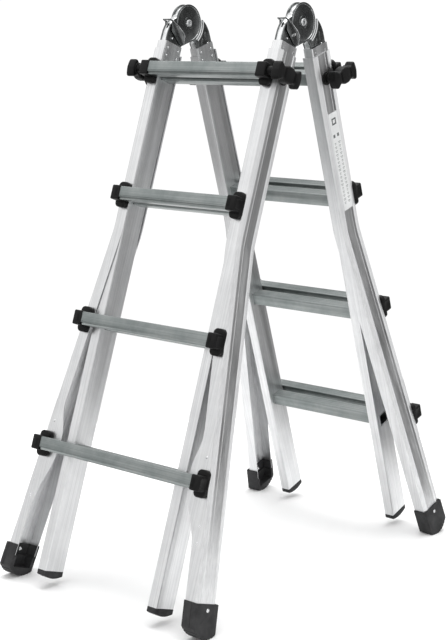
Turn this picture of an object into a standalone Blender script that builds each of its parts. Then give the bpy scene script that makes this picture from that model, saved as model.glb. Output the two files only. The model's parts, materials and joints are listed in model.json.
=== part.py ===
"""Telescopic multi position ladder: two hinged halves, each an inner ladder in a sliding outer ladder.

Each half is modelled in its own leg frame, whose origin is the hinge pivot:
  x runs along the rungs, y points out of the half towards its climbing side,
  z points back up the leg, so a place at distance s down the leg has z = -s.
The rear half's frame is tilted by the half opening angle, and the front half's is the same frame
turned half round, so that both halves share their meshes.
"""
import math

import bmesh
import bpy
from mathutils import Matrix, Vector

# ---------------------------------------------------------------- driving dimensions (metres)
HALF_OPENING = math.radians(18.6)
RUNG_PITCH = 0.280
RUNG_COUNT = 4
FIRST_RUNG = 0.133
CLEARANCE = 0.0003

# inner ladder
INNER_INSIDE_X = 0.1470
INNER_OUTSIDE_X = 0.1715
INNER_BACK_Y = 0.0066
INNER_FRONT_Y = 0.0629
INNER_WALL = 0.0018
INNER_CORNER = 0.0030
INNER_TOP = 0.0605
INNER_BOTTOM = 1.2345
INNER_RUNG_HEIGHT = 0.028
INNER_RUNG_DEPTH = 0.030
INNER_RUNG_CORNER = 0.0030
INNER_FOOT_SOLE = 0.0160
INNER_FOOT_PLUG = 0.0300
INNER_FOOT_SPAN = math.radians(80)
FOOT_PLUG_GAP = 0.0005
FOOT_PLUG_STEP = 0.0010
FOOT_EDGE = 0.0004

# outer ladder
OUTER_WEB_X = 0.1753
OUTER_FLANGE = 0.0306
OUTER_BACK_Y = 0.0035
OUTER_FRONT_Y = 0.0660
OUTER_WALL = 0.0022
OUTER_CORNER = 0.0030
WEB_SHOULDER = 0.0125
WEB_SLOPE = 0.0022
WEB_RECESS = 0.0012
OUTER_TOP = 0.0790
OUTER_BOTTOM = 1.2240
BEND_START = 0.4700
BEND_LENGTH = 0.0340
FLARE_SLOPE = 0.1350
OUTER_RUNG_STANDOFF = 0.0170
OUTER_RUNG_HEIGHT = 0.0280
OUTER_RUNG_DEPTH = 0.0270
RUNG_WALL = 0.0020
RUNG_CHAMFER = 0.0050
RUNG_BLUNT = 0.0020

# gusset plate welded round the lowest outer rung
GUSSET_UP = 0.100
GUSSET_DOWN = 0.125
GUSSET_BUMP = 0.0235
GUSSET_PROUD = 0.0003
GUSSET_SUNK = 0.0015

# rung caps
CAP_SLEEVE_IN = 0.0125
CAP_SLEEVE_OUT = 0.0150
CAP_WALL = 0.0025
CAP_SHOE_IN = 0.0170
CAP_SHOE_HALF_HEIGHT = 0.0280
CAP_SHOE_DEPTH = 0.0115
CAP_END_WALL = 0.0040
CAP_BEVEL = 0.0016
SHOE_OUTER_RADIUS = 0.0060
SHOE_INNER_RADIUS = 0.0120

# boots
BOOT_TOP = 1.1990
BOOT_WALL = 0.0029
SOLE_CENTRE_Y = 0.0310
SOLE_CENTRE_S = 1.2213
SOLE_RADIUS = 0.0467
SOLE_FACET = 0.0006
BOOT_RIM_WALL = 0.0060
BOOT_SIDE_WALL = 0.0080
BOOT_HOLLOW_DEPTH = 0.0260
BOOT_LIP = 0.0010

# lock grips
PIN_RADIUS = 0.0090
PIN_HOLE_RADIUS = 0.0096
PIN_TIP_X = 0.1722
STEM_RADIUS = 0.0100
STEM_HOLE_RADIUS = 0.0106
STEM_LENGTH_INTO_CAP = 0.0100
GRIP_NEAR_X = 0.1895
GRIP_THICKNESS = 0.0210
GRIP_CENTRE_Y = 0.0590
GRIP_CENTRE_S = 0.1340
GRIP_HALF_LENGTH = 0.0400
GRIP_FLARE_HALF_HEIGHT = 0.0190
GRIP_NOTCH_HALF_HEIGHT = 0.0135
GRIP_HUB_HALF_HEIGHT = 0.0170
GRIP_ROOT = 0.0040

# hinges
HINGE_X = 0.1585
DISC_RADIUS = 0.0410
CORE_RADIUS = 0.0370
CORE_HALF_WIDTH = 0.0040
CHEEK_INNER = 0.0045
CHEEK_OUTER = 0.0070
TONGUE_BACK_Y = 0.0092
TONGUE_FRONT_Y = 0.0600
TONGUE_END = 0.1180
BAND_WALL = 0.0028
NECK_END_S = 0.0620
NECK_HOLLOW_TOP = 0.0650
NECK_HOLLOW_HALF_WIDTH = 0.0050
NECK_HOLLOW_WALL = 0.0030
REAR_WIDE_RADIUS = 0.0455
PIVOT_RADIUS = 0.0070
PIVOT_BORE = 0.0035
PIVOT_HOLE = 0.0073
PIVOT_HEAD_RADIUS = 0.0105
PIVOT_HEAD_OUTER = 0.0092
LEVER_INNER = 0.0074
LEVER_OUTER = 0.0090
LEVER_PIN_Y = 0.0100
LEVER_PIN_S = 0.0470
LEVER_TAB_BACK = 0.0585
LEVER_TAB_FRONT = 0.0639
LEVER_TAB_TOP = 0.0126
LEVER_TAB_BOTTOM = 0.0149
OVERSHOOT = 0.0100

PIVOT_HEIGHT = (
    SOLE_CENTRE_S * math.cos(HALF_OPENING)
    - SOLE_CENTRE_Y * math.sin(HALF_OPENING)
    + SOLE_RADIUS
    - SOLE_FACET
)
OUTER_RUNG_Y = OUTER_FRONT_Y + OUTER_RUNG_STANDOFF
INNER_RUNG_Y = (INNER_BACK_Y + INNER_FRONT_Y) / 2
FLANGE_CENTRE_X = OUTER_WEB_X - OUTER_FLANGE / 2


def rung_distance(number):
    """Distance down the leg from the pivot to rung number 1, 2, 3 or 4."""
    return FIRST_RUNG + RUNG_PITCH * (number - 1)


def flare(distance):
    """Sideways offset of the outer rail: straight, then a smooth bend, then a constant slope."""
    past = distance - BEND_START
    if past <= 0.0:
        return 0.0
    if past >= BEND_LENGTH:
        return FLARE_SLOPE * (past - BEND_LENGTH / 2)
    return FLARE_SLOPE * past * past / (2 * BEND_LENGTH)


# ---------------------------------------------------------------- scene and materials
for old in list(bpy.data.objects):
    bpy.data.objects.remove(old, do_unlink=True)


def make_material(name, colour, roughness, metallic):
    material = bpy.data.materials.new(name)
    material.use_nodes = True
    shader = material.node_tree.nodes["Principled BSDF"]
    shader.inputs["Base Color"].default_value = (*colour, 1.0)
    shader.inputs["Roughness"].default_value = roughness
    shader.inputs["Metallic"].default_value = metallic
    return material


FINISHES = {
    "rail": ((0.70, 0.71, 0.71), 0.38, 1.0),
    "rung": ((0.55, 0.58, 0.57), 0.42, 1.0),
    "plastic": ((0.030, 0.030, 0.032), 0.55, 0.0),
    "zinc": ((0.42, 0.43, 0.44), 0.32, 1.0),
}


# ---------------------------------------------------------------- mesh helpers
def finish_mesh(name, bm):
    bmesh.ops.remove_doubles(bm, verts=bm.verts, dist=0.00001)
    bmesh.ops.recalc_face_normals(bm, faces=bm.faces)
    mesh = bpy.data.meshes.new(name)
    bm.to_mesh(mesh)
    bm.free()
    return mesh


def mirrored(mesh):
    """The same mesh on the other side of the ladder's middle plane."""
    copy = mesh.copy()
    copy.transform(Matrix.Scale(-1.0, 4, Vector((1.0, 0.0, 0.0))))
    copy.flip_normals()
    return copy


def block(name, low, high):
    bm = bmesh.new()
    bmesh.ops.create_cube(bm, size=1.0)
    size = Vector(high) - Vector(low)
    middle = (Vector(high) + Vector(low)) / 2
    bmesh.ops.scale(bm, vec=size, verts=bm.verts)
    bmesh.ops.translate(bm, vec=middle, verts=bm.verts)
    return finish_mesh(name, bm)


def cylinder_x(name, radius, low_x, high_x, centre_y, centre_z, sides=24):
    bm = bmesh.new()
    bmesh.ops.create_cone(
        bm, cap_ends=True, segments=sides, radius1=radius, radius2=radius, depth=high_x - low_x
    )
    bmesh.ops.rotate(bm, cent=(0, 0, 0), matrix=Matrix.Rotation(math.pi / 2, 3, "Y"), verts=bm.verts)
    bmesh.ops.translate(bm, vec=((low_x + high_x) / 2, centre_y, centre_z), verts=bm.verts)
    return finish_mesh(name, bm)


def extrude_face(name, points, direction):
    """A closed solid from one flat outline, extruded along a vector."""
    bm = bmesh.new()
    face = bm.faces.new([bm.verts.new(point) for point in points])
    grown = bmesh.ops.extrude_face_region(bm, geom=[face])
    moved = [item for item in grown["geom"] if isinstance(item, bmesh.types.BMVert)]
    bmesh.ops.translate(bm, vec=direction, verts=moved)
    bmesh.ops.recalc_face_normals(bm, faces=bm.faces)
    return finish_mesh(name, bm)


def plate_x(name, outline, low_x, high_x):
    """A plate square to x; its outline is a list of (y, s) places on the leg."""
    points = [(low_x, y, -s) for y, s in outline]
    return extrude_face(name, points, (high_x - low_x, 0.0, 0.0))


def tube_outline(width, height, corner, steps):
    """A rectangle with round corners, centred on the origin."""
    points = []
    for quarter in range(4):
        middle = math.pi / 4 + quarter * math.pi / 2
        cx = math.copysign(width / 2 - corner, math.cos(middle))
        cy = math.copysign(height / 2 - corner, math.sin(middle))
        for step in range(steps + 1):
            angle = quarter * math.pi / 2 + step / steps * math.pi / 2
            points.append((cx + corner * math.cos(angle), cy + corner * math.sin(angle)))
    return points


def ring_solid(name, outer, inner, ends):
    """A tube from an outer and an inner outline with equal point counts, between two placings."""
    bm = bmesh.new()
    rings = []
    for placing in ends:
        rings.append([bm.verts.new(placing(*point)) for point in outer])
        rings.append([bm.verts.new(placing(*point)) for point in inner])
    outer_a, inner_a, outer_b, inner_b = rings
    for index in range(len(outer)):
        after = (index + 1) % len(outer)
        bm.faces.new((outer_a[index], outer_a[after], outer_b[after], outer_b[index]))
        bm.faces.new((inner_a[index], inner_b[index], inner_b[after], inner_a[after]))
        bm.faces.new((outer_a[index], inner_a[index], inner_a[after], outer_a[after]))
        bm.faces.new((outer_b[index], outer_b[after], inner_b[after], inner_b[index]))
    return finish_mesh(name, bm)


def combine(base, tool, operation):
    """Boolean of two meshes; the tool is used up and a new mesh comes back."""
    base_object = bpy.data.objects.new("base", base)
    tool_object = bpy.data.objects.new("tool", tool)
    for item in (base_object, tool_object):
        bpy.context.collection.objects.link(item)
    modifier = base_object.modifiers.new("boolean", "BOOLEAN")
    modifier.operation = operation
    modifier.object = tool_object
    depsgraph = bpy.context.evaluated_depsgraph_get()
    evaluated = base_object.evaluated_get(depsgraph)
    result = bpy.data.meshes.new_from_object(evaluated)
    result.name = base.name
    bpy.data.objects.remove(base_object, do_unlink=True)
    bpy.data.objects.remove(tool_object, do_unlink=True)
    return result


def cut(base, tool):
    return combine(base, tool, "DIFFERENCE")


def join(base, tool):
    return combine(base, tool, "UNION")


def make_origin(name, location, rotation, parent=None):
    empty = bpy.data.objects.new(name, None)
    empty.empty_display_size = 0.05
    empty.location = location
    empty.rotation_euler = rotation
    empty.parent = parent
    bpy.context.collection.objects.link(empty)
    return empty


def place(name, mesh, finish, parent, location=(0.0, 0.0, 0.0)):
    colour, roughness, metallic = FINISHES[finish]
    own_mesh = mesh.copy()
    own_mesh.name = name
    own_mesh.materials.clear()
    own_mesh.materials.append(make_material(name, colour, roughness, metallic))
    own_mesh.shade_smooth()
    own_mesh.set_sharp_from_angle(angle=math.radians(32))
    item = bpy.data.objects.new(name, own_mesh)
    item.parent = parent
    item.location = location
    bpy.context.collection.objects.link(item)
    return item


# ---------------------------------------------------------------- inner ladder pieces
def inner_rail_mesh():
    """Box tube with a window for each rung through both side walls."""
    width = INNER_OUTSIDE_X - INNER_INSIDE_X
    depth = INNER_FRONT_Y - INNER_BACK_Y
    centre_x = (INNER_OUTSIDE_X + INNER_INSIDE_X) / 2
    outer = tube_outline(width, depth, INNER_CORNER, 3)
    inner = tube_outline(
        width - 2 * INNER_WALL, depth - 2 * INNER_WALL, INNER_CORNER - INNER_WALL, 3
    )
    ends = [
        lambda x, y: (centre_x + x, INNER_RUNG_Y + y, -INNER_TOP),
        lambda x, y: (centre_x + x, INNER_RUNG_Y + y, -INNER_BOTTOM),
    ]
    mesh = ring_solid("inner_rail", outer, inner, ends)
    half_y = INNER_RUNG_DEPTH / 2 + CLEARANCE
    half_z = INNER_RUNG_HEIGHT / 2 + CLEARANCE
    for number in range(1, RUNG_COUNT + 1):
        middle = -rung_distance(number)
        low = (INNER_INSIDE_X - OVERSHOOT, INNER_RUNG_Y - half_y, middle - half_z)
        high = (INNER_OUTSIDE_X + OVERSHOOT, INNER_RUNG_Y + half_y, middle + half_z)
        mesh = cut(mesh, block("rung_window", low, high))
    return mesh


def inner_rung_mesh():
    """Square tube that reaches from the outer side of one rail to that of the other."""
    outer = tube_outline(INNER_RUNG_DEPTH, INNER_RUNG_HEIGHT, INNER_RUNG_CORNER, 2)
    inner = tube_outline(
        INNER_RUNG_DEPTH - 2 * RUNG_WALL,
        INNER_RUNG_HEIGHT - 2 * RUNG_WALL,
        INNER_RUNG_CORNER - RUNG_WALL,
        2,
    )
    ends = [
        lambda y, z: (-INNER_OUTSIDE_X, y, z),
        lambda y, z: (INNER_OUTSIDE_X, y, z),
    ]
    return ring_solid("inner_rung", outer, inner, ends)


def inner_foot_mesh():
    """End plug of an inner rail with a crescent sole below it."""
    steps = 8
    half_depth = (INNER_FRONT_Y - INNER_BACK_Y) / 2 - 2 * CLEARANCE
    top = INNER_BOTTOM + CLEARANCE
    outline = [(INNER_RUNG_Y - half_depth, top)]
    for step in range(steps + 1):
        across = -1.0 + 2.0 * step / steps
        drop = INNER_FOOT_SOLE * (0.35 + 0.65 * math.cos(across * INNER_FOOT_SPAN))
        outline.append((INNER_RUNG_Y + across * half_depth, top + drop))
    outline.append((INNER_RUNG_Y + half_depth, top))
    sole = plate_x("inner_foot", outline, INNER_INSIDE_X + FOOT_EDGE, INNER_OUTSIDE_X - FOOT_EDGE)
    gap = INNER_WALL + FOOT_PLUG_GAP
    low = (INNER_INSIDE_X + gap, INNER_BACK_Y + gap + FOOT_PLUG_STEP, -top - 2 * FOOT_PLUG_STEP)
    high = (INNER_OUTSIDE_X - gap, INNER_FRONT_Y - gap - FOOT_PLUG_STEP, -top + INNER_FOOT_PLUG)
    return join(sole, block("plug", low, high))


# ---------------------------------------------------------------- outer ladder pieces
def channel_contour(inset):
    """One side of the channel's wall, from one flange's edge round the web to the other's."""
    web = OUTER_WEB_X - inset
    front = OUTER_FRONT_Y - inset
    back = OUTER_BACK_Y + inset
    edge = OUTER_WEB_X - OUTER_FLANGE
    corner = OUTER_CORNER - inset
    shoulder = WEB_SHOULDER
    points = [(edge, back)]
    for step in range(4):
        angle = math.radians(-90 + 30 * step)
        points.append((web - corner + corner * math.cos(angle), back + corner + corner * math.sin(angle)))
    points.append((web, OUTER_BACK_Y + shoulder))
    points.append((web - WEB_RECESS, OUTER_BACK_Y + shoulder + WEB_SLOPE))
    points.append((web - WEB_RECESS, OUTER_FRONT_Y - shoulder - WEB_SLOPE))
    points.append((web, OUTER_FRONT_Y - shoulder))
    for step in range(4):
        angle = math.radians(30 * step)
        points.append((web - corner + corner * math.cos(angle), front - corner + corner * math.sin(angle)))
    points.append((edge, front))
    return points


def gusset_outline():
    """Widened stretch of the front flange as (x, s), with its bump towards the ladder's middle."""
    middle = rung_distance(RUNG_COUNT)
    outside = OUTER_WEB_X - OUTER_CORNER
    edge = OUTER_WEB_X - OUTER_FLANGE
    rises = [
        (-GUSSET_UP, 0.00),
        (-0.45 * GUSSET_UP, 0.62),
        (-0.16 * GUSSET_UP, 1.00),
        (0.12 * GUSSET_DOWN, 1.00),
        (0.42 * GUSSET_DOWN, 0.60),
        (GUSSET_DOWN, 0.00),
    ]
    points = []
    for offset, rise in rises:
        distance = middle + offset
        points.append((edge + flare(distance) - rise * GUSSET_BUMP, distance))
    points.append((outside + flare(middle + GUSSET_DOWN), middle + GUSSET_DOWN))
    points.append((outside + flare(middle - GUSSET_UP), middle - GUSSET_UP))
    return points


def outer_rail_mesh():
    """Channel rail, straight at the top and flared below the second rung, with its gusset."""
    profile = channel_contour(0.0) + channel_contour(OUTER_WALL)[::-1]
    bend_steps = 5
    stations = [OUTER_TOP]
    stations += [BEND_START + BEND_LENGTH * step / bend_steps for step in range(bend_steps + 1)]
    stations.append(OUTER_BOTTOM)
    bm = bmesh.new()
    rings = []
    for distance in stations:
        shift = flare(distance)
        rings.append([bm.verts.new((x + shift, y, -distance)) for x, y in profile])
    for upper, lower in zip(rings, rings[1:]):
        for index in range(len(profile)):
            after = (index + 1) % len(profile)
            bm.faces.new((upper[index], upper[after], lower[after], lower[index]))
    count = len(profile)
    for ring in (rings[0], rings[-1]):
        for index in range(count // 2 - 1):
            across = count - 1 - index
            bm.faces.new((ring[index], ring[index + 1], ring[across - 1], ring[across]))
    mesh = finish_mesh("outer_rail", bm)
    low_y = OUTER_FRONT_Y - GUSSET_SUNK
    points = [(x, low_y, -s) for x, s in gusset_outline()]
    gusset = extrude_face("gusset", points, (0.0, GUSSET_SUNK + GUSSET_PROUD, 0.0))
    mesh = join(mesh, gusset)
    hole = cylinder_x(
        "pin_hole",
        PIN_HOLE_RADIUS,
        OUTER_WEB_X - OVERSHOOT,
        OUTER_WEB_X + OVERSHOOT,
        INNER_RUNG_Y,
        -FIRST_RUNG,
    )
    return cut(mesh, hole)


def rung_outline(inset):
    """Outer rung section as (y, z): blunt top corners and a wide chamfer along the lower front edge."""
    half_y = OUTER_RUNG_DEPTH / 2 - inset
    half_z = OUTER_RUNG_HEIGHT / 2 - inset
    small = RUNG_BLUNT
    wide = RUNG_CHAMFER
    return [
        (half_y - small, half_z),
        (-half_y + small, half_z),
        (-half_y, half_z - small),
        (-half_y, -half_z + small),
        (-half_y + small, -half_z),
        (half_y - wide, -half_z),
        (half_y, -half_z + wide),
        (half_y, half_z - small),
    ]


def cap_centre_x(number):
    return FLANGE_CENTRE_X + flare(rung_distance(number))


def outer_rung_mesh(number):
    """Tube that ends inside the two caps."""
    half_length = cap_centre_x(number) + CAP_SLEEVE_OUT - CAP_END_WALL - CLEARANCE
    ends = [
        lambda y, z: (-half_length, y, z),
        lambda y, z: (half_length, y, z),
    ]
    return ring_solid("outer_rung", rung_outline(0.0), rung_outline(RUNG_WALL), ends)


def rung_cap_mesh(stem_passes):
    """Sleeve round the rung's end on a shoe with an upper and a lower lobe."""
    half_y = OUTER_RUNG_DEPTH / 2 + CLEARANCE
    half_z = OUTER_RUNG_HEIGHT / 2 + CLEARANCE
    sleeve_low = (-CAP_SLEEVE_IN, -half_y - CAP_WALL, -half_z - CAP_WALL)
    sleeve_high = (CAP_SLEEVE_OUT, half_y + CAP_WALL, half_z + CAP_WALL)
    bm = bmesh.new()
    bm.from_mesh(block("rung_cap", sleeve_low, sleeve_high))
    bmesh.ops.bevel(bm, geom=bm.edges[:], offset=CAP_BEVEL, segments=2, affect="EDGES", profile=0.5)
    mesh = finish_mesh("rung_cap", bm)
    shoe_back = -OUTER_RUNG_STANDOFF + GUSSET_PROUD + CLEARANCE
    outline = []
    shoe_corners = [
        (CAP_SLEEVE_OUT, CAP_SHOE_HALF_HEIGHT, 0, SHOE_OUTER_RADIUS),
        (-CAP_SHOE_IN, CAP_SHOE_HALF_HEIGHT, 90, SHOE_INNER_RADIUS),
        (-CAP_SHOE_IN, -CAP_SHOE_HALF_HEIGHT, 180, SHOE_INNER_RADIUS),
        (CAP_SLEEVE_OUT, -CAP_SHOE_HALF_HEIGHT, 270, SHOE_OUTER_RADIUS),
    ]
    for corner_x, corner_z, start, radius in shoe_corners:
        cx = corner_x - math.copysign(radius, corner_x)
        cz = corner_z - math.copysign(radius, corner_z)
        for step in range(4):
            angle = math.radians(start + 30 * step)
            outline.append((cx + radius * math.cos(angle), shoe_back, cz + radius * math.sin(angle)))
    shoe = extrude_face("shoe", outline, (0.0, CAP_SHOE_DEPTH, 0.0))
    mesh = join(mesh, shoe)
    low = (-CAP_SLEEVE_IN - OVERSHOOT, -half_y, -half_z)
    high = (CAP_SLEEVE_OUT - CAP_END_WALL, half_y, half_z)
    mesh = cut(mesh, block("pocket", low, high))
    if stem_passes:
        hole_end = CAP_SLEEVE_OUT + OVERSHOOT
        mesh = cut(mesh, cylinder_x("stem_hole", STEM_HOLE_RADIUS, 0.0, hole_end, 0.0, 0.0))
    return mesh


def boot_outline():
    """Side view of a boot as (y, s): square top and a round sole."""
    back = OUTER_BACK_Y - BOOT_WALL
    front = OUTER_FRONT_Y + BOOT_WALL
    points = [(back, BOOT_TOP)]
    start = math.asin((back - SOLE_CENTRE_Y) / SOLE_RADIUS)
    end = math.asin((front - SOLE_CENTRE_Y) / SOLE_RADIUS)
    steps = 12
    for step in range(steps + 1):
        angle = start + (end - start) * step / steps
        y = SOLE_CENTRE_Y + SOLE_RADIUS * math.sin(angle)
        points.append((y, SOLE_CENTRE_S + SOLE_RADIUS * math.cos(angle)))
    points.append((front, BOOT_TOP))
    return points


def boot_mesh():
    """Boot over the outer rail's end, open towards the ladder's middle like the channel above it."""
    web = OUTER_WEB_X + BOOT_WALL
    edge = OUTER_WEB_X - OUTER_FLANGE - BOOT_LIP
    mesh = plate_x("boot", boot_outline(), edge, web)
    pocket_low = (edge - OVERSHOOT, OUTER_BACK_Y - CLEARANCE, -OUTER_BOTTOM - CLEARANCE)
    pocket_high = (OUTER_WEB_X + CLEARANCE, OUTER_FRONT_Y + CLEARANCE, 0.0)
    mesh = cut(mesh, block("pocket", pocket_low, pocket_high))
    hollow_low = (edge - OVERSHOOT, OUTER_BACK_Y + BOOT_RIM_WALL, -OUTER_BOTTOM - BOOT_HOLLOW_DEPTH)
    hollow_high = (OUTER_WEB_X - BOOT_SIDE_WALL, OUTER_FRONT_Y - BOOT_RIM_WALL, -OUTER_BOTTOM + OVERSHOOT)
    mesh = cut(mesh, block("hollow", hollow_low, hollow_high))
    bm = bmesh.new()
    bm.from_mesh(mesh)
    down = Vector((0.0, -math.sin(HALF_OPENING), -math.cos(HALF_OPENING)))
    floor_point = down * PIVOT_HEIGHT
    geometry = bm.verts[:] + bm.edges[:] + bm.faces[:]
    sliced = bmesh.ops.bisect_plane(
        bm, geom=geometry, plane_co=floor_point, plane_no=down, clear_outer=True
    )
    rim = [item for item in sliced["geom_cut"] if isinstance(item, bmesh.types.BMEdge)]
    bmesh.ops.edgenet_fill(bm, edges=rim)
    for vertex in bm.verts:
        vertex.co.x += flare(-vertex.co.z)
    return finish_mesh("boot", bm)


# ---------------------------------------------------------------- lock grip
def grip_outline():
    """Bow tie with a round hub, as (y, s) round the grip's centre."""
    upper = [
        (-1.00, 0.80),
        (-0.94, 1.00),
        (-0.84, 0.97),
    ]
    points = []
    for across, height in upper:
        points.append((across * GRIP_HALF_LENGTH, height * GRIP_FLARE_HALF_HEIGHT))
    points.append((-0.50 * GRIP_HALF_LENGTH, GRIP_NOTCH_HALF_HEIGHT))
    hub_steps = 4
    for step in range(hub_steps + 1):
        across = -0.38 + 0.76 * step / hub_steps
        rise = math.cos(math.radians(90) * across / 0.50)
        height = GRIP_NOTCH_HALF_HEIGHT + (GRIP_HUB_HALF_HEIGHT - GRIP_NOTCH_HALF_HEIGHT) * rise
        points.append((across * GRIP_HALF_LENGTH, height))
    points.append((0.50 * GRIP_HALF_LENGTH, GRIP_NOTCH_HALF_HEIGHT))
    for across, height in reversed(upper):
        points.append((-across * GRIP_HALF_LENGTH, height * GRIP_FLARE_HALF_HEIGHT))
    lower = [(y, -s) for y, s in reversed(points)]
    return points + lower


def lock_grip_mesh():
    """Grip with its lock pin and its guide stem, all one moulding."""
    outline = [(GRIP_CENTRE_Y + y, GRIP_CENTRE_S + s) for y, s in grip_outline()]
    far = GRIP_NEAR_X + GRIP_THICKNESS
    mesh = plate_x("lock_grip", outline, GRIP_NEAR_X, far)
    root = GRIP_NEAR_X + GRIP_ROOT
    pin = cylinder_x("pin", PIN_RADIUS, PIN_TIP_X, root, INNER_RUNG_Y, -FIRST_RUNG)
    cap_end = FLANGE_CENTRE_X + CAP_SLEEVE_OUT
    stem_low = cap_end - STEM_LENGTH_INTO_CAP
    stem = cylinder_x("stem", STEM_RADIUS, stem_low, root, OUTER_RUNG_Y, -FIRST_RUNG)
    return join(join(mesh, pin), stem)


# ---------------------------------------------------------------- hinge pieces
def circle_points(radius, start_degrees, end_degrees, steps):
    """Arc round the pivot as (y, s); 0 degrees points out along y and 90 degrees up the leg."""
    points = []
    for step in range(steps + 1):
        angle = math.radians(start_degrees + (end_degrees - start_degrees) * step / steps)
        points.append((radius * math.cos(angle), -radius * math.sin(angle)))
    return points


# places on the halves as (y, s): the front edge of both necks, and the corner between disc and tongue
NECK_FRONT = [(0.0475, 0.0080), (0.0545, 0.0200), (0.0588, 0.0340), (TONGUE_FRONT_Y, 0.0480)]
FRONT_CORNER = [(-0.0100, 0.0428), (0.0075, 0.0560)]
CORE_CORNER = [(0.0040, 0.0440), (0.0070, 0.0540)]
REAR_NECK_CORNER = [(0.0065, 0.0490), (TONGUE_BACK_Y, NECK_END_S)]
BAND_START = (0.0440, 0.0040)
BAND_EDGE = 0.0005
LEVER_OUTLINE = [
    (0.0640, 0.0125),
    (0.0510, 0.0125),
    (0.0088, 0.0275),
    (0.0022, 0.0480),
    (0.0080, 0.0545),
    (0.0180, 0.0545),
    (0.0500, 0.0350),
    (0.0555, 0.0165),
    (0.0640, 0.0150),
]


def half_plate_outline(radius, end_degrees, inner_corner):
    """Disc round the pivot that runs out into the tongue which the rail takes."""
    outline = circle_points(radius, 0, end_degrees, 32)
    outline += inner_corner
    outline += [(TONGUE_BACK_Y, NECK_END_S), (TONGUE_BACK_Y, TONGUE_END), (TONGUE_FRONT_Y, TONGUE_END)]
    outline += reversed(NECK_FRONT)
    return outline


def offset_inwards(points, distance):
    """Copies an open run of (y, s) points to its inner side."""
    moved = []
    for index, (y, s) in enumerate(points):
        before = Vector(points[max(index - 1, 0)])
        after = Vector(points[min(index + 1, len(points) - 1)])
        along = (after - before).normalized()
        moved.append((y - along.y * distance, s + along.x * distance))
    return moved


def pivot_hole():
    half_width = CHEEK_OUTER + OVERSHOOT
    return cylinder_x("pivot_hole", PIVOT_HOLE, HINGE_X - half_width, HINGE_X + half_width, 0.0, 0.0)


def front_hinge_mesh():
    """Two cheeks joined by the band that runs down their front edge into the rail."""
    outline = half_plate_outline(DISC_RADIUS, 236, FRONT_CORNER)
    near = plate_x("front_hinge", outline, HINGE_X + CHEEK_INNER, HINGE_X + CHEEK_OUTER)
    far = plate_x("cheek", outline, HINGE_X - CHEEK_OUTER, HINGE_X - CHEEK_INNER)
    edge = [BAND_START] + NECK_FRONT + [(TONGUE_FRONT_Y, TONGUE_END)]
    band_outline = edge + offset_inwards(edge, BAND_WALL)[::-1]
    band_half_width = CHEEK_OUTER - BAND_EDGE
    band = plate_x("band", band_outline, HINGE_X - band_half_width, HINGE_X + band_half_width)
    return cut(join(join(near, band), far), pivot_hole())


def rear_hinge_mesh():
    """Core disc that turns between the cheeks, on a wide hollow neck that fits the rear rail."""
    core_outline = half_plate_outline(CORE_RADIUS, 264, CORE_CORNER)
    core = plate_x("rear_hinge", core_outline, HINGE_X - CORE_HALF_WIDTH, HINGE_X + CORE_HALF_WIDTH)
    neck_outline = circle_points(REAR_WIDE_RADIUS, 350, 286, 10)
    neck_outline += REAR_NECK_CORNER
    neck_outline += [(TONGUE_BACK_Y, TONGUE_END), (TONGUE_FRONT_Y, TONGUE_END)]
    neck_outline += reversed(NECK_FRONT[1:])
    neck = plate_x("neck", neck_outline, HINGE_X - CHEEK_OUTER, HINGE_X + CHEEK_OUTER)
    hollow_low = (
        HINGE_X - NECK_HOLLOW_HALF_WIDTH,
        TONGUE_BACK_Y + NECK_HOLLOW_WALL,
        -TONGUE_END - OVERSHOOT,
    )
    hollow_high = (
        HINGE_X + NECK_HOLLOW_HALF_WIDTH,
        TONGUE_FRONT_Y - NECK_HOLLOW_WALL,
        -NECK_HOLLOW_TOP,
    )
    return cut(cut(join(core, neck), block("hollow", hollow_low, hollow_high)), pivot_hole())


def hinge_pivot_mesh():
    """Hollow rivet: a turned sleeve with a head on each side."""
    neck = CHEEK_OUTER + CLEARANCE
    profile = [
        (PIVOT_BORE, -PIVOT_HEAD_OUTER),
        (PIVOT_HEAD_RADIUS - 0.0010, -PIVOT_HEAD_OUTER),
        (PIVOT_HEAD_RADIUS, -PIVOT_HEAD_OUTER + 0.0008),
        (PIVOT_HEAD_RADIUS, -neck),
        (PIVOT_RADIUS, -neck),
    ]
    profile += [(radius, -x) for radius, x in reversed(profile)]
    sides = 24
    bm = bmesh.new()
    rings = []
    for step in range(sides):
        angle = 2 * math.pi * step / sides
        rings.append(
            [
                bm.verts.new((HINGE_X + x, radius * math.cos(angle), radius * math.sin(angle)))
                for radius, x in profile
            ]
        )
    for step in range(sides):
        here = rings[step]
        there = rings[(step + 1) % sides]
        for index in range(len(profile)):
            after = (index + 1) % len(profile)
            bm.faces.new((here[index], here[after], there[after], there[index]))
    return finish_mesh("hinge_pivot", bm)


def lever_mesh():
    """Release lever: two side plates astride the cheeks, joined by the thumb tab in front."""
    near = plate_x("lever", LEVER_OUTLINE, HINGE_X + LEVER_INNER, HINGE_X + LEVER_OUTER)
    far = plate_x("side", LEVER_OUTLINE, HINGE_X - LEVER_OUTER, HINGE_X - LEVER_INNER)
    low = (HINGE_X - LEVER_OUTER, LEVER_TAB_BACK, -LEVER_TAB_BOTTOM)
    high = (HINGE_X + LEVER_OUTER, LEVER_TAB_FRONT, -LEVER_TAB_TOP)
    mesh = join(join(near, block("tab", low, high)), far)
    mesh.transform(Matrix.Translation((0.0, -LEVER_PIN_Y, LEVER_PIN_S)))
    return mesh


# ---------------------------------------------------------------- assembly
SIDE_NAMES = {("rear", 1): "right", ("rear", -1): "left", ("front", 1): "left", ("front", -1): "right"}


def on_side(mesh, sign):
    return mesh if sign > 0 else mirrored(mesh)


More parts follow.
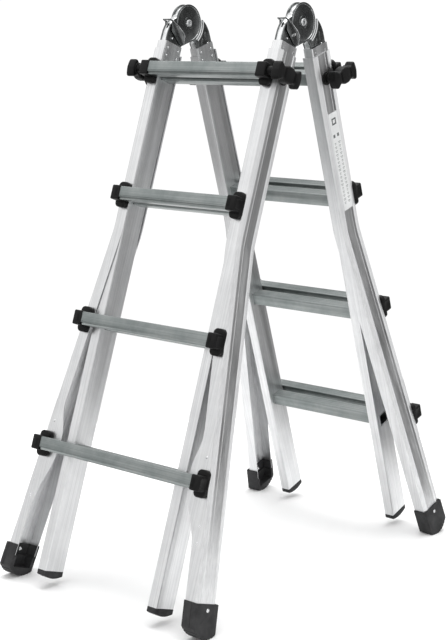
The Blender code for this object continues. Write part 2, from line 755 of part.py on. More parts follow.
def build_half(half, origin, shared):
    for sign in (1, -1):
        side = SIDE_NAMES[(half, sign)]
        place(f"{half}_inner_rail_{side}", on_side(shared["inner_rail"], sign), "rail", origin)
        place(f"{half}_outer_rail_{side}", on_side(shared["outer_rail"], sign), "rail", origin)
        place(f"{half}_inner_foot_{side}", on_side(shared["inner_foot"], sign), "plastic", origin)
        place(f"{half}_boot_{side}", on_side(shared["boot"], sign), "plastic", origin)
        place(f"{half}_lock_grip_{side}", on_side(shared["lock_grip"], sign), "plastic", origin)
        plate = shared[f"{half}_hinge"]
        place(f"{half}_hinge_plate_{side}", on_side(plate, sign), "zinc", origin)
        for number in range(1, RUNG_COUNT + 1):
            cap = shared["open_cap"] if number == 1 else shared["closed_cap"]
            location = (sign * cap_centre_x(number), OUTER_RUNG_Y, -rung_distance(number))
            name = f"{half}_rung_cap_{number}_{side}"
            place(name, on_side(cap, sign), "plastic", origin, location)
    for number in range(1, RUNG_COUNT + 1):
        drop = -rung_distance(number)
        inner_place = (0.0, INNER_RUNG_Y, drop)
        outer_place = (0.0, OUTER_RUNG_Y, drop)
        place(f"{half}_inner_rung_{number}", shared["inner_rung"], "rung", origin, inner_place)
        place(f"{half}_outer_rung_{number}", outer_rung_mesh(number), "rung", origin, outer_place)


def build_hinge_parts(origin, shared):
    """Pivots and levers belong to the front half."""
    lever_place = (0.0, LEVER_PIN_Y, -LEVER_PIN_S)
    for sign in (1, -1):
        side = SIDE_NAMES[("front", sign)]
        place(f"hinge_pivot_{side}", on_side(shared["pivot"], sign), "zinc", origin)
        place(f"hinge_lever_{side}", on_side(shared["lever"], sign), "zinc", origin, lever_place)


def build_ladder():
    pivot = (0.0, 0.0, PIVOT_HEIGHT)
    rear = make_origin("rear_half_origin", pivot, (HALF_OPENING, 0.0, 0.0))
    front = make_origin("front_half_origin", pivot, (HALF_OPENING, 0.0, math.pi))
    shared = {
        "inner_rail": inner_rail_mesh(),
        "outer_rail": outer_rail_mesh(),
        "inner_foot": inner_foot_mesh(),
        "inner_rung": inner_rung_mesh(),
        "boot": boot_mesh(),
        "lock_grip": lock_grip_mesh(),
        "open_cap": rung_cap_mesh(stem_passes=True),
        "closed_cap": rung_cap_mesh(stem_passes=False),
        "front_hinge": front_hinge_mesh(),
        "rear_hinge": rear_hinge_mesh(),
        "pivot": hinge_pivot_mesh(),
        "lever": lever_mesh(),
    }
    build_half("rear", rear, shared)
    build_half("front", front, shared)
    build_hinge_parts(front, shared)


build_ladder()
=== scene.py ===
"""Looks of the telescopic multi position ladder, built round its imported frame.

Every piece is modelled in its half's leg frame, whose origin is the hinge pivot: x runs along the
rungs, y points out towards the climbing side and z back up the leg, so a place at distance s down
the leg has z = -s. Shapes are drawn for the side at +x and mirrored for the other one. Sizes are
in metres. The main places are measured on the frame's own nodes.
"""
import json
import math

import bmesh
import bpy
from mathutils import Matrix, Vector


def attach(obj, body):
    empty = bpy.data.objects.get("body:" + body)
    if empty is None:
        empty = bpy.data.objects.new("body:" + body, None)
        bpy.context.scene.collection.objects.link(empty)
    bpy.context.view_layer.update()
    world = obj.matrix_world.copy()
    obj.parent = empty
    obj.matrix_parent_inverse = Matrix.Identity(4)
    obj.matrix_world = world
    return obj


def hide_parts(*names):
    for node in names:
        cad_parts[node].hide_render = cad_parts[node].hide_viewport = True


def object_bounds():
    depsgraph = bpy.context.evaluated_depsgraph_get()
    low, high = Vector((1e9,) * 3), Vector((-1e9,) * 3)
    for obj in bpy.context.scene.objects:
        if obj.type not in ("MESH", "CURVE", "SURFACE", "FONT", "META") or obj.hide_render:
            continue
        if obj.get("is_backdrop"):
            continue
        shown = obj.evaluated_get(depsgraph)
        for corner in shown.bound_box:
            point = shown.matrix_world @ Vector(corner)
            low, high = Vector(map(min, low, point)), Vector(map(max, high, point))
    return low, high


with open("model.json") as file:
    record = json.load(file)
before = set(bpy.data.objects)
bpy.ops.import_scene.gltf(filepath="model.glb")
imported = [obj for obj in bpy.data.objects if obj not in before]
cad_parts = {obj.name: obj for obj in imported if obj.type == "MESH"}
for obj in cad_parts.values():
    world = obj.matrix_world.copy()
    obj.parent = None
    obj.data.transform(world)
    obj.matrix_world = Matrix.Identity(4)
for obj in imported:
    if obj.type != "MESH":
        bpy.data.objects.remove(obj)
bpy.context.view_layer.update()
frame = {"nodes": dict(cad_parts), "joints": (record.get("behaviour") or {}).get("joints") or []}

# ---- frame measures
JOINTS = {joint["name"]: joint for joint in frame["joints"]}
PIVOT = Vector(JOINTS["fold"]["pos_m"])
HALVES = ("rear", "front")
SIDES = ("left", "right")


def leg_matrix(half):
    """Turns leg coordinates of a half into the row frame."""
    up = -Vector(JOINTS[half + "_extend"]["axis"]).normalized()
    along = Vector((1.0 if half == "rear" else -1.0, 0.0, 0.0))
    out = up.cross(along)
    matrix = Matrix((along, out, up)).transposed().to_4x4()
    matrix.translation = PIVOT
    return matrix


LEG = {half: leg_matrix(half) for half in HALVES}


def side_sign(half, side):
    """+1 where this side of the half lies at its leg frame's +x."""
    return 1 if (half, side) in (("rear", "right"), ("front", "left")) else -1


def leg_box(node, half="rear"):
    """Lowest and highest leg coordinates of a CAD node."""
    inverse = LEG[half].inverted()
    places = [inverse @ vertex.co for vertex in frame["nodes"][node].data.vertices]
    low = Vector([min(place[axis] for place in places) for axis in range(3)])
    high = Vector([max(place[axis] for place in places) for axis in range(3)])
    return low, high


inner_low, inner_high = leg_box("rear_inner_rail_right")
outer_low, outer_high = leg_box("rear_outer_rail_right")
foot_low, foot_high = leg_box("rear_inner_foot_right")
cap_low, cap_high = leg_box("rear_rung_cap_1_right")
boot_high = leg_box("rear_boot_right")[1]
grip_high = leg_box("rear_lock_grip_right")[1]

# rungs
outer_rung_low, outer_rung_high = leg_box("rear_outer_rung_1")
inner_rung_low, inner_rung_high = leg_box("rear_inner_rung_1")
OUTER_RUNG_Y = (outer_rung_low.y + outer_rung_high.y) / 2
INNER_RUNG_Y = (inner_rung_low.y + inner_rung_high.y) / 2
OUTER_RUNG_HALF = (outer_rung_high - outer_rung_low) / 2
INNER_RUNG_HALF = (inner_rung_high - inner_rung_low) / 2
RUNGS = (1, 2, 3, 4)
CAP_OUT = 0.0150
RUNG_S = {}
CAP_X = {}
for number in RUNGS:
    low, high = leg_box(f"rear_outer_rung_{number}")
    RUNG_S[number] = -(low.z + high.z) / 2
    CAP_X[number] = leg_box(f"rear_rung_cap_{number}_right")[1].x - CAP_OUT

# inner rail
INNER_IN_X = inner_low.x
INNER_OUT_X = inner_high.x
INNER_BACK = inner_low.y
INNER_FRONT = inner_high.y
INNER_TOP = -inner_high.z
INNER_END = -inner_low.z
INNER_WALL = 0.0018
INNER_CORNER = 0.0030

# outer rail: the same section and bend as its CAD node
WEB_X = 0.1753
FLANGE = 0.0306
FLANGE_EDGE_X = WEB_X - FLANGE
OUTER_BACK = outer_low.y
OUTER_FRONT = OUTER_BACK + 0.0625
OUTER_TOP = -outer_high.z
OUTER_END = -outer_low.z
OUTER_WALL = 0.0022
SHOULDER = 0.0125
SHOULDER_SLOPE = 0.0022
RECESS = 0.0012
SHOULDER_DROP = 0.0036
SHOULDER_THINNING = 0.0016
GROOVE_DEPTH = 0.0004
RIB_HEIGHT = 0.0003
RIB_Y = OUTER_BACK + 0.0390
BEND_START = 0.4700
BEND_LENGTH = 0.0340
FLARE_SLOPE = 0.1350

# hinge
HINGE_X = 0.1585
DISC_RADIUS = 0.0410
CORE_RADIUS = 0.0380
CHEEK_IN = 0.0064
CHEEK_OUT = 0.0092
CORE_HALF = 0.0060
TONGUE_BACK = 0.0092
TONGUE_FRONT = 0.0600
TONGUE_END = 0.1180
PIVOT_BORE = 0.0036


def flare(distance):
    """Sideways offset of the outer rail: straight, then a smooth bend, then a constant slope."""
    past = distance - BEND_START
    if past <= 0.0:
        return 0.0
    if past >= BEND_LENGTH:
        return FLARE_SLOPE * (past - BEND_LENGTH / 2)
    return FLARE_SLOPE * past * past / (2 * BEND_LENGTH)


# ---- materials
EVEN = (1.0, 1.0, 1.0)


class Painter:
    """Small helper that adds nodes to the tree of a material or a world."""

    def __init__(self, owner):
        owner.use_nodes = True
        self.owner = owner
        self.tree = owner.node_tree

    def feed(self, node, **inputs):
        """Links or sets inputs of a node; an underscore stands for a space in an input's name."""
        for key, source in inputs.items():
            self.plug(node.inputs[key.replace("_", " ")], source)

    def plug(self, socket, source):
        if isinstance(source, bpy.types.NodeSocket):
            self.tree.links.new(source, socket)
        else:
            socket.default_value = source

    def node(self, kind, settings=(), **inputs):
        made = self.tree.nodes.new(kind)
        for key, value in dict(settings).items():
            setattr(made, key, value)
        self.feed(made, **inputs)
        return made

    def shade(self, **inputs):
        self.feed(self.tree.nodes["Principled BSDF"], **inputs)

    def noise(self, scale, size, detail=4.0, roughness=0.55):
        place = self.node("ShaderNodeTexCoord").outputs["Object"]
        mapped = self.node("ShaderNodeMapping", Scale=scale, Vector=place).outputs["Vector"]
        made = self.node("ShaderNodeTexNoise", Scale=size, Detail=detail, Roughness=roughness, Vector=mapped)
        return made.outputs["Fac"]

    def ramp(self, source, stops):
        made = self.node("ShaderNodeValToRGB", Fac=source)
        for element, (position, colour) in zip(made.color_ramp.elements, stops):
            element.position = position
            element.color = (*colour, 1.0)
        return made.outputs["Color"]

    def spread(self, source, low, high):
        """Maps a 0.3 to 0.7 noise to the range low to high."""
        made = self.node("ShaderNodeMapRange", Value=source, From_Min=0.3, From_Max=0.7)
        self.feed(made, To_Min=low, To_Max=high)
        return made.outputs["Result"]

    def multiply(self, first, second, factor):
        mode = {"data_type": "RGBA", "blend_type": "MULTIPLY"}
        return self.node("ShaderNodeMix", mode, Factor=factor, A=first, B=second).outputs["Result"]

    def combine(self, kind, operation, first, second):
        """Adds a node for sums or directions, and feeds its first two inputs."""
        made = self.node(kind, {"operation": operation})
        for socket, source in zip(made.inputs, (first, second)):
            self.plug(socket, source)
        return made.outputs["Value"]

    def bump(self, height, strength, distance):
        made = self.node("ShaderNodeBump", Strength=strength, Distance=distance, Height=height)
        self.shade(Normal=made.outputs["Normal"])


def new_paint(name):
    return Painter(bpy.data.materials.new(name))


def aluminium(name, along, light, dark, roughness, cloud):
    """Drawn aluminium: long die lines along one axis, cloudy mill tone and fine grain."""
    paint = new_paint(name)
    thin = tuple(1.5 if axis == along else 160.0 for axis in range(3))
    wide = tuple(0.6 if axis == along else 34.0 for axis in range(3))
    lines = paint.noise(thin, 2.2, 6.0, 0.62)
    bands = paint.noise(wide, 1.6, 3.0)
    clouds = paint.noise(EVEN, 15.0, 6.0, 0.66)
    colour = paint.ramp(lines, [(0.30, dark), (0.70, light)])
    tone = paint.ramp(clouds, [(0.32, cloud), (0.62, EVEN)])
    paint.shade(Base_Color=paint.multiply(colour, tone, 0.8), Metallic=1.0)
    paint.shade(Roughness=paint.spread(bands, *roughness))
    paint.bump(paint.combine("ShaderNodeMath", "ADD", lines, bands), 0.25, 0.00025)
    return paint.owner


def plastic(name, light, dark, roughness, grain):
    """Moulded plastic: fine spark-eroded grain, dull scuffs and a little dust in the tone."""
    paint = new_paint(name)
    scuffs = paint.noise(EVEN, 45.0, 6.0, 0.65)
    colour = paint.ramp(scuffs, [(0.35, dark), (0.72, light)])
    paint.shade(Base_Color=colour, Specular_IOR_Level=0.16, Roughness=paint.spread(scuffs, *roughness))
    paint.bump(paint.noise(EVEN, grain, 2.0), 0.35, 0.0002)
    return paint.owner


def steel(name, light, dark, roughness, grain):
    """Zinc plated pressed steel: spangled tone, handling marks and a faint orange peel."""
    paint = new_paint(name)
    spangle = paint.noise(EVEN, 75.0, 4.0, 0.6)
    marks = paint.noise((1.0, 1.0, 3.0), 240.0, 5.0, 0.7)
    colour = paint.ramp(spangle, [(0.30, dark), (0.68, light)])
    paint.shade(Base_Color=colour, Metallic=1.0, Roughness=paint.spread(marks, *roughness))
    paint.bump(paint.noise(EVEN, grain, 3.0), 0.2, 0.0002)
    return paint.owner


def paper(name, light, dark):
    """Printed foil: nearly plain, with a slight mottle and creases in its sheen."""
    paint = new_paint(name)
    mottle = paint.noise(EVEN, 60.0)
    colour = paint.ramp(mottle, [(0.3, dark), (0.7, light)])
    paint.shade(Base_Color=colour, Roughness=paint.spread(mottle, 0.35, 0.55))
    paint.bump(mottle, 0.15, 0.0002)
    return paint.owner


RAIL_CLOUD = (0.88, 0.88, 0.885)
RUNG_CLOUD = (0.60, 0.64, 0.64)
RAIL = aluminium("rail_aluminium", 2, (0.80, 0.805, 0.81), (0.62, 0.625, 0.63), (0.28, 0.42), RAIL_CLOUD)
# painted shade: the rungs are the rails' aluminium with a much darker base colour, which stands in for the
# dark reflections on their fronts
RUNG_PAINTED_SHADE = aluminium("rung_aluminium", 0, (0.33, 0.35, 0.346), (0.22, 0.24, 0.237), (0.28, 0.46), RUNG_CLOUD)
BLACK = plastic("black_plastic", (0.006, 0.006, 0.0064), (0.003, 0.003, 0.003), (0.36, 0.52), 1400.0)
RUBBER = plastic("black_rubber", (0.046, 0.046, 0.047), (0.020, 0.020, 0.021), (0.48, 0.66), 900.0)
# painted shade: the hinge's cheeks, lever, ribs and pivot rings are the same zinc plated steel as its bright
# bands and rims, given a dark base colour for the dark surround they mirror
HINGE_STEEL_PAINTED_SHADE = steel("hinge_steel_painted_shade", (0.22, 0.228, 0.228), (0.12, 0.126, 0.126), (0.18, 0.30), 160.0)
BRIGHT_STEEL = steel("bright_zinc", (0.74, 0.75, 0.755), (0.60, 0.61, 0.615), (0.16, 0.28), 200.0)
LABEL = paper("label_foil", (0.80, 0.81, 0.81), (0.72, 0.73, 0.73))
PRINT = paper("label_print", (0.16, 0.17, 0.17), (0.10, 0.11, 0.11))


# ---- mesh helpers
CLEAR = 0.01  # how far a cutting block reaches past the surface that it cuts
SAME_PLACE = 0.000005
SHARP_ANGLE = math.radians(38)


def finish_mesh(name, bm):
    """Turns the working mesh into a mesh, with its doubles merged and its faces turned outwards."""
    bmesh.ops.remove_doubles(bm, verts=bm.verts, dist=SAME_PLACE)
    bmesh.ops.recalc_face_normals(bm, faces=bm.faces)
    mesh = bpy.data.meshes.new(name)
    bm.to_mesh(mesh)
    bm.free()
    return mesh


def mirrored(mesh):
    """The same mesh on the other side of x = 0."""
    copy = mesh.copy()
    copy.transform(Matrix.Scale(-1.0, 4, Vector((1.0, 0.0, 0.0))))
    copy.flip_normals()
    return copy


def bevelled(mesh, width, segments=3, angle=35.0):
    """Rounds every edge sharper than the angle."""
    bm = bmesh.new()
    bm.from_mesh(mesh)
    bmesh.ops.remove_doubles(bm, verts=bm.verts, dist=SAME_PLACE)
    limit = math.radians(angle)
    sharp = [edge for edge in bm.edges if len(edge.link_faces) == 2 and edge.calc_face_angle() > limit]
    shape = {"affect": "EDGES", "profile": 0.5, "clamp_overlap": True}
    bmesh.ops.bevel(bm, geom=sharp, offset=width, segments=segments, **shape)
    return finish_mesh(mesh.name, bm)


def block(low, high):
    """A box between two corners."""
    bm = bmesh.new()
    bmesh.ops.create_cube(bm, size=1.0)
    low = Vector(low)
    high = Vector(high)
    bmesh.ops.scale(bm, vec=high - low, verts=bm.verts)
    bmesh.ops.translate(bm, vec=(high + low) / 2, verts=bm.verts)
    return finish_mesh("block", bm)


def extruded(points, direction):
    """A closed solid from one flat outline, extruded along a vector."""
    bm = bmesh.new()
    face = bm.faces.new([bm.verts.new(point) for point in points])
    grown = bmesh.ops.extrude_face_region(bm, geom=[face])
    moved = [item for item in grown["geom"] if isinstance(item, bmesh.types.BMVert)]
    bmesh.ops.translate(bm, vec=direction, verts=moved)
    return finish_mesh("plate", bm)


def plate_x(outline, low_x, high_x):
    """A plate square to x from a list of (y, s) places."""
    return extruded([(low_x, y, -s) for y, s in outline], (high_x - low_x, 0.0, 0.0))


def skinned(rings, closed=False):
    """Faces between equal rings of points, with an end face on the first and the last."""
    bm = bmesh.new()
    made = [[bm.verts.new(point) for point in ring] for ring in rings]
    pairs = list(zip(made, made[1:]))
    if closed:
        pairs.append((made[-1], made[0]))
    count = len(made[0])
    for first, second in pairs:
        for index in range(count):
            after = (index + 1) % count
            bm.faces.new((first[index], first[after], second[after], second[index]))
    if not closed:
        bm.faces.new(made[0])
        bm.faces.new(made[-1])
    return finish_mesh("skin", bm)


def tube(outer, inner, start, end, place=lambda x, y, z: (x, y, z)):
    """A tube with an outer and an inner outline of equal point counts, between two stations."""
    rings = [[place(station, *point) for point in outer] for station in (start, end)]
    rings += [[place(station, *point) for point in inner] for station in (end, start)]
    return skinned(rings, closed=True)


def turned(profile, y, s, sides=40):
    """A solid of revolution about an axis along x, from (radius, x) places."""
    bm = bmesh.new()
    rings = []
    for radius, x in profile:
        if radius < SAME_PLACE:
            rings.append([bm.verts.new((x, y, -s))])
            continue
        ring = []
        for step in range(sides):
            angle = 2 * math.pi * step / sides
            ring.append(bm.verts.new((x, y + radius * math.cos(angle), -s + radius * math.sin(angle))))
        rings.append(ring)
    pairs = list(zip(rings, rings[1:]))
    if len(rings[0]) > 1:
        pairs.append((rings[-1], rings[0]))
    for first, second in pairs:
        for step in range(sides):
            after = (step + 1) % sides
            corners = [first[step % len(first)], first[after % len(first)]]
            corners += [second[after % len(second)], second[step % len(second)]]
            bm.faces.new(list(dict.fromkeys(corners)))
    return finish_mesh("turned", bm)


def rod(radius, low_x, high_x, y, s, edge=0.0008, sides=40):
    """A round bar along x with softened ends."""
    profile = [(0.0, low_x), (radius - edge, low_x), (radius, low_x + edge)]
    profile += [(radius, high_x - edge), (radius - edge, high_x), (0.0, high_x)]
    return turned(profile, y, s, sides)


def bore_tool(radius, low_x, high_x, y, s):
    """A plain cylinder along x, to cut with."""
    return turned([(0.0, low_x), (radius, low_x), (radius, high_x), (0.0, high_x)], y, s)


def dome(radius, height, x, y, s, facing, sides=20):
    """A rivet head that stands on a face square to x."""
    steps = 4
    sunk = 0.0003
    profile = [(0.0, x - facing * sunk), (radius, x - facing * sunk)]
    for step in range(steps):
        angle = math.pi / 2 * step / steps
        profile.append((radius * math.cos(angle), x + facing * height * math.sin(angle)))
    profile.append((0.0, x + facing * height))
    return turned(profile, y, s, sides)


def combine(base, tool, operation):
    """Boolean of two meshes; the tool is used up and a new mesh comes back."""
    base_object = bpy.data.objects.new("base", base)
    tool_object = bpy.data.objects.new("tool", tool)
    for item in (base_object, tool_object):
        bpy.context.collection.objects.link(item)
    modifier = base_object.modifiers.new("boolean", "BOOLEAN")
    modifier.operation = operation
    modifier.object = tool_object
    depsgraph = bpy.context.evaluated_depsgraph_get()
    result = bpy.data.meshes.new_from_object(base_object.evaluated_get(depsgraph))
    bpy.data.objects.remove(base_object, do_unlink=True)
    bpy.data.objects.remove(tool_object, do_unlink=True)
    return result


def cut(base, tool):
    """The base without the tool's room."""
    return combine(base, tool, "DIFFERENCE")


def join(base, tool):
    """The base and the tool in one skin."""
    return combine(base, tool, "UNION")


def gathered(meshes):
    """Several separate solids in one mesh."""
    bm = bmesh.new()
    for mesh in meshes:
        bm.from_mesh(mesh)
    made = bpy.data.meshes.new("group")
    bm.to_mesh(made)
    bm.free()
    return made


def arc(centre, radius, start_degrees, end_degrees, steps):
    """Points of an arc about a centre in a plane."""
    points = []
    for step in range(steps + 1):
        angle = math.radians(start_degrees + (end_degrees - start_degrees) * step / steps)
        points.append((centre[0] + radius * math.cos(angle), centre[1] + radius * math.sin(angle)))
    return points


def rounded_box(width, height, corner, steps):
    """A rectangle with round corners, centred on the origin."""
    points = []
    for quarter in range(4):
        middle = math.pi / 4 + quarter * math.pi / 2
        centre = (
            math.copysign(width / 2 - corner, math.cos(middle)),
            math.copysign(height / 2 - corner, math.sin(middle)),
        )
        points += arc(centre, corner, quarter * 90, quarter * 90 + 90, steps)
    return points


def put(name, mesh, half, body, material, nodes=(), location=(0.0, 0.0, 0.0)):
    """Places a piece by its leg frame, hangs it on the body it rides on, gives it its material and hides the
    CAD nodes it stands for.
    """
    own = mesh.copy()
    own.name = name
    own.materials.clear()
    own.materials.append(material)
    own.shade_smooth()
    own.set_sharp_from_angle(angle=SHARP_ANGLE)
    item = bpy.data.objects.new(name, own)
    bpy.context.collection.objects.link(item)
    item.matrix_world = LEG[half] @ Matrix.Translation(location)
    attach(item, body)
    if nodes:
        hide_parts(*nodes)


def on_side(mesh, sign):
    """The mesh as drawn for +1, mirrored for -1."""
    return mesh if sign > 0 else mirrored(mesh)


# ---- inner ladder
def inner_rail_mesh():
    """Box tube with round corners and a window for each rung."""
    width = INNER_OUT_X - INNER_IN_X
    depth = INNER_FRONT - INNER_BACK
    middle_x = (INNER_OUT_X + INNER_IN_X) / 2
    outer = rounded_box(width, depth, INNER_CORNER, 6)
    inner = rounded_box(width - 2 * INNER_WALL, depth - 2 * INNER_WALL, INNER_CORNER - INNER_WALL, 6)
    mesh = tube(outer, inner, INNER_TOP, INNER_END, lambda s, x, y: (middle_x + x, INNER_RUNG_Y + y, -s))
    for number in RUNGS:
        low = (INNER_IN_X - CLEAR, INNER_RUNG_Y - INNER_RUNG_HALF.y, -RUNG_S[number] - INNER_RUNG_HALF.z)
        high = (INNER_OUT_X + CLEAR, INNER_RUNG_Y + INNER_RUNG_HALF.y, -RUNG_S[number] + INNER_RUNG_HALF.z)
        mesh = cut(mesh, block(low, high))
    return mesh


RUNG_WALL = 0.0020
RUNG_GROOVE = 0.0006


def rung_mesh(half, outside, inside, reach):
    """Rung tube with a grooved tread; outside and inside are its corner radius and its chamfer."""
    outer = ribbed_outline(half, 0.0, *outside, RUNG_GROOVE)
    inner = ribbed_outline(half, RUNG_WALL, *inside, 0.0)
    return tube(outer, inner, -reach, reach)


def ribbed_outline(half, inset, small, wide, groove):
    """Rung section as (y, z): round corners, grooves on the top face and a chamfer at the lower front."""
    half_y = half.y - inset
    half_z = half.z - inset
    points = arc((half_y - small, half_z - small), small, 0, 90, 4)
    grooves = 5
    span = 2 * (half_y - small) * 0.86
    pitch = span / grooves
    for index in range(grooves):
        middle = span / 2 - pitch * (index + 0.5)
        for share, sunk in ((0.30, 0.0), (0.12, groove), (-0.12, groove), (-0.30, 0.0)):
            points.append((middle + pitch * share, half_z - sunk))
    points += arc((-half_y + small, half_z - small), small, 90, 180, 4)
    points += arc((-half_y + small, -half_z + small), small, 180, 270, 4)
    points.append((half_y - wide - 0.0006, -half_z))
    points.append((half_y - wide, -half_z + 0.0002))
    points.append((half_y - 0.0002, -half_z + wide))
    points.append((half_y, -half_z + wide + 0.0006))
    points.append((half_y, -half_z + wide + 0.0022))
    points.append((half_y - groove * 0.7, -half_z + wide + 0.0027))
    points.append((half_y, -half_z + wide + 0.0032))
    return points


def rung_flare_mesh():
    """Swaged rim of an inner rung where it shows on the rail's outer face."""
    wide = 2 * INNER_RUNG_HALF.y
    high = 2 * INNER_RUNG_HALF.z
    rim = 0.0036
    outer = rounded_box(wide + rim, high + rim, 0.0042, 6)
    inner = rounded_box(wide - 2 * RUNG_WALL, high - 2 * RUNG_WALL, 0.0016, 6)
    return tube(outer, inner, INNER_OUT_X - 0.0006, INNER_OUT_X + 0.0003)


def inner_foot_mesh():
    """Crescent end plug with a soft edge and a shadow gap under the rail."""
    steps = 24
    shadow_gap = 0.0003
    half_depth = (INNER_FRONT - INNER_BACK) / 2 - 0.0006
    top = INNER_END + shadow_gap
    drop = -foot_low.z - top
    outline = [(INNER_RUNG_Y - half_depth, top)]
    for step in range(steps + 1):
        across = -1.0 + 2.0 * step / steps
        fall = drop * (0.58 + 0.42 * math.cos(across * math.radians(80)))
        outline.append((INNER_RUNG_Y + across * half_depth, top + fall))
    outline.append((INNER_RUNG_Y + half_depth, top))
    sole = bevelled(plate_x(outline, INNER_IN_X + 0.0004, INNER_OUT_X - 0.0004), 0.0012, 3)
    gap = INNER_WALL + 0.0005
    low = (INNER_IN_X + gap, INNER_BACK + gap + 0.001, -top - 0.002)
    high = (INNER_OUT_X - gap, INNER_FRONT - gap - 0.001, foot_high.z)
    return join(sole, block(low, high))


# ---- outer ladder
CAP_FIT = 0.0002  # room between a rung and its cap

# along a shoulder, from the flange's corner to its crest: share of the run, and 1 at the groove's bottom
SHOULDER_STEPS = ((0.0, 0), (0.10, 0), (0.40, 0), (0.43, 1), (0.46, 0), (0.88, 0), (1.0, 0))
# across the fine rib in the band: offset from its middle, and 1 on its crest
RIB_STEPS = ((-0.0020, 0), (-0.0008, 0), (-0.0002, 1), (0.0002, 1), (0.0008, 0), (0.0020, 0))


def channel_contour(inset, drop, groove, rib_height):
    """One side of the channel's wall, from one flange's edge round the web to the other's."""
    web = WEB_X - inset
    band = web - RECESS
    back = OUTER_BACK + inset
    soft = 0.0006
    shoulder_end = OUTER_BACK + SHOULDER
    band_start = shoulder_end + SHOULDER_SLOPE
    foot_x = web - drop
    foot_y = back + 0.0012
    run_x = drop - 0.0003
    run_y = shoulder_end - 0.0008 - foot_y
    half = [(FLANGE_EDGE_X + soft * 0.5, back), (foot_x - 0.0030, back), (foot_x - 0.0012, back)]
    half.append((foot_x - 0.0004, back + 0.0003))
    for share, sunk in SHOULDER_STEPS:
        half.append((foot_x + run_x * share - groove * sunk, foot_y + run_y * share))
    half.append((web, shoulder_end - 0.0002))
    half.append((web - 0.12 * RECESS, shoulder_end + 0.0003))
    half.append((web - 0.88 * RECESS, band_start))
    half.append((band, band_start + soft))
    half.append((band, band_start + soft + 0.0014))
    rib = [(band + rib_height * raised, RIB_Y + offset) for offset, raised in RIB_STEPS]
    total = OUTER_BACK + OUTER_FRONT
    return half + rib + [(x, total - y) for x, y in reversed(half)]


def outer_rail_mesh():
    """Channel rail, straight at the top and flared below the second rung."""
    outside = channel_contour(0.0, SHOULDER_DROP, GROOVE_DEPTH, RIB_HEIGHT)
    inside = channel_contour(OUTER_WALL, SHOULDER_DROP - SHOULDER_THINNING, 0.0, 0.0)
    soft = 0.0004
    lip_front = [(FLANGE_EDGE_X, OUTER_FRONT - soft), (FLANGE_EDGE_X, OUTER_FRONT - OUTER_WALL + soft)]
    lip_back = [(FLANGE_EDGE_X, OUTER_BACK + OUTER_WALL - soft), (FLANGE_EDGE_X, OUTER_BACK + soft)]
    profile = outside + lip_front + inside[::-1] + lip_back
    bend_steps = 10
    stations = [OUTER_TOP]
    stations += [BEND_START + BEND_LENGTH * step / bend_steps for step in range(bend_steps + 1)]
    stations.append(OUTER_END)
    rings = []
    for distance in stations:
        shift = flare(distance)
        rings.append([(x + shift, y, -distance) for x, y in profile])
    pin_hole = rod(PIN_HOLE_RADIUS, WEB_X - 0.0060, WEB_X + 0.0040, PIN_Y, PIN_S)
    return cut(skinned(rings), pin_hole)


def gusset_mesh():
    """Widened stretch of the front flange round the lowest rung, with a smooth bump towards the middle."""
    middle = RUNG_S[4]
    above = 0.100
    below = 0.125
    bump = 0.0235
    level = 0.14
    steps = 28
    places = []
    for step in range(steps + 1):
        offset = -above + (above + below) * step / steps
        reach = -offset / above if offset < 0 else offset / below
        rise = 0.5 + 0.5 * math.cos(math.pi * min(1.0, max(0.0, (reach - level) / (1.0 - level))))
        distance = middle + offset
        places.append((FLANGE_EDGE_X + flare(distance) - bump * rise, distance))
    top = middle - above
    end = middle + below
    outside = WEB_X - SHOULDER_DROP - 0.0004
    places.append((outside + flare(end), end))
    places.append((outside + flare(top), top))
    thick = 0.0018
    high = OUTER_FRONT + 0.0003
    points = [(x, high - thick, -s) for x, s in places]
    return extruded(points, (0.0, thick, 0.0))


def outer_rung_mesh(number):
    """Outer rung, which ends inside its caps."""
    reach = CAP_X[number] + SLEEVE_OUT - SLEEVE_END - 0.0003
    return rung_mesh(OUTER_RUNG_HALF, (0.0020, 0.0050), (0.0008, 0.0042), reach)


SLEEVE_IN = -0.0115
SLEEVE_OUT = 0.0128
SLEEVE_WALL = 0.0016
SLEEVE_END = 0.0030
SHOE_IN = -0.0148
SHOE_OUT = 0.0142
SHOE_CORNER = 0.0098


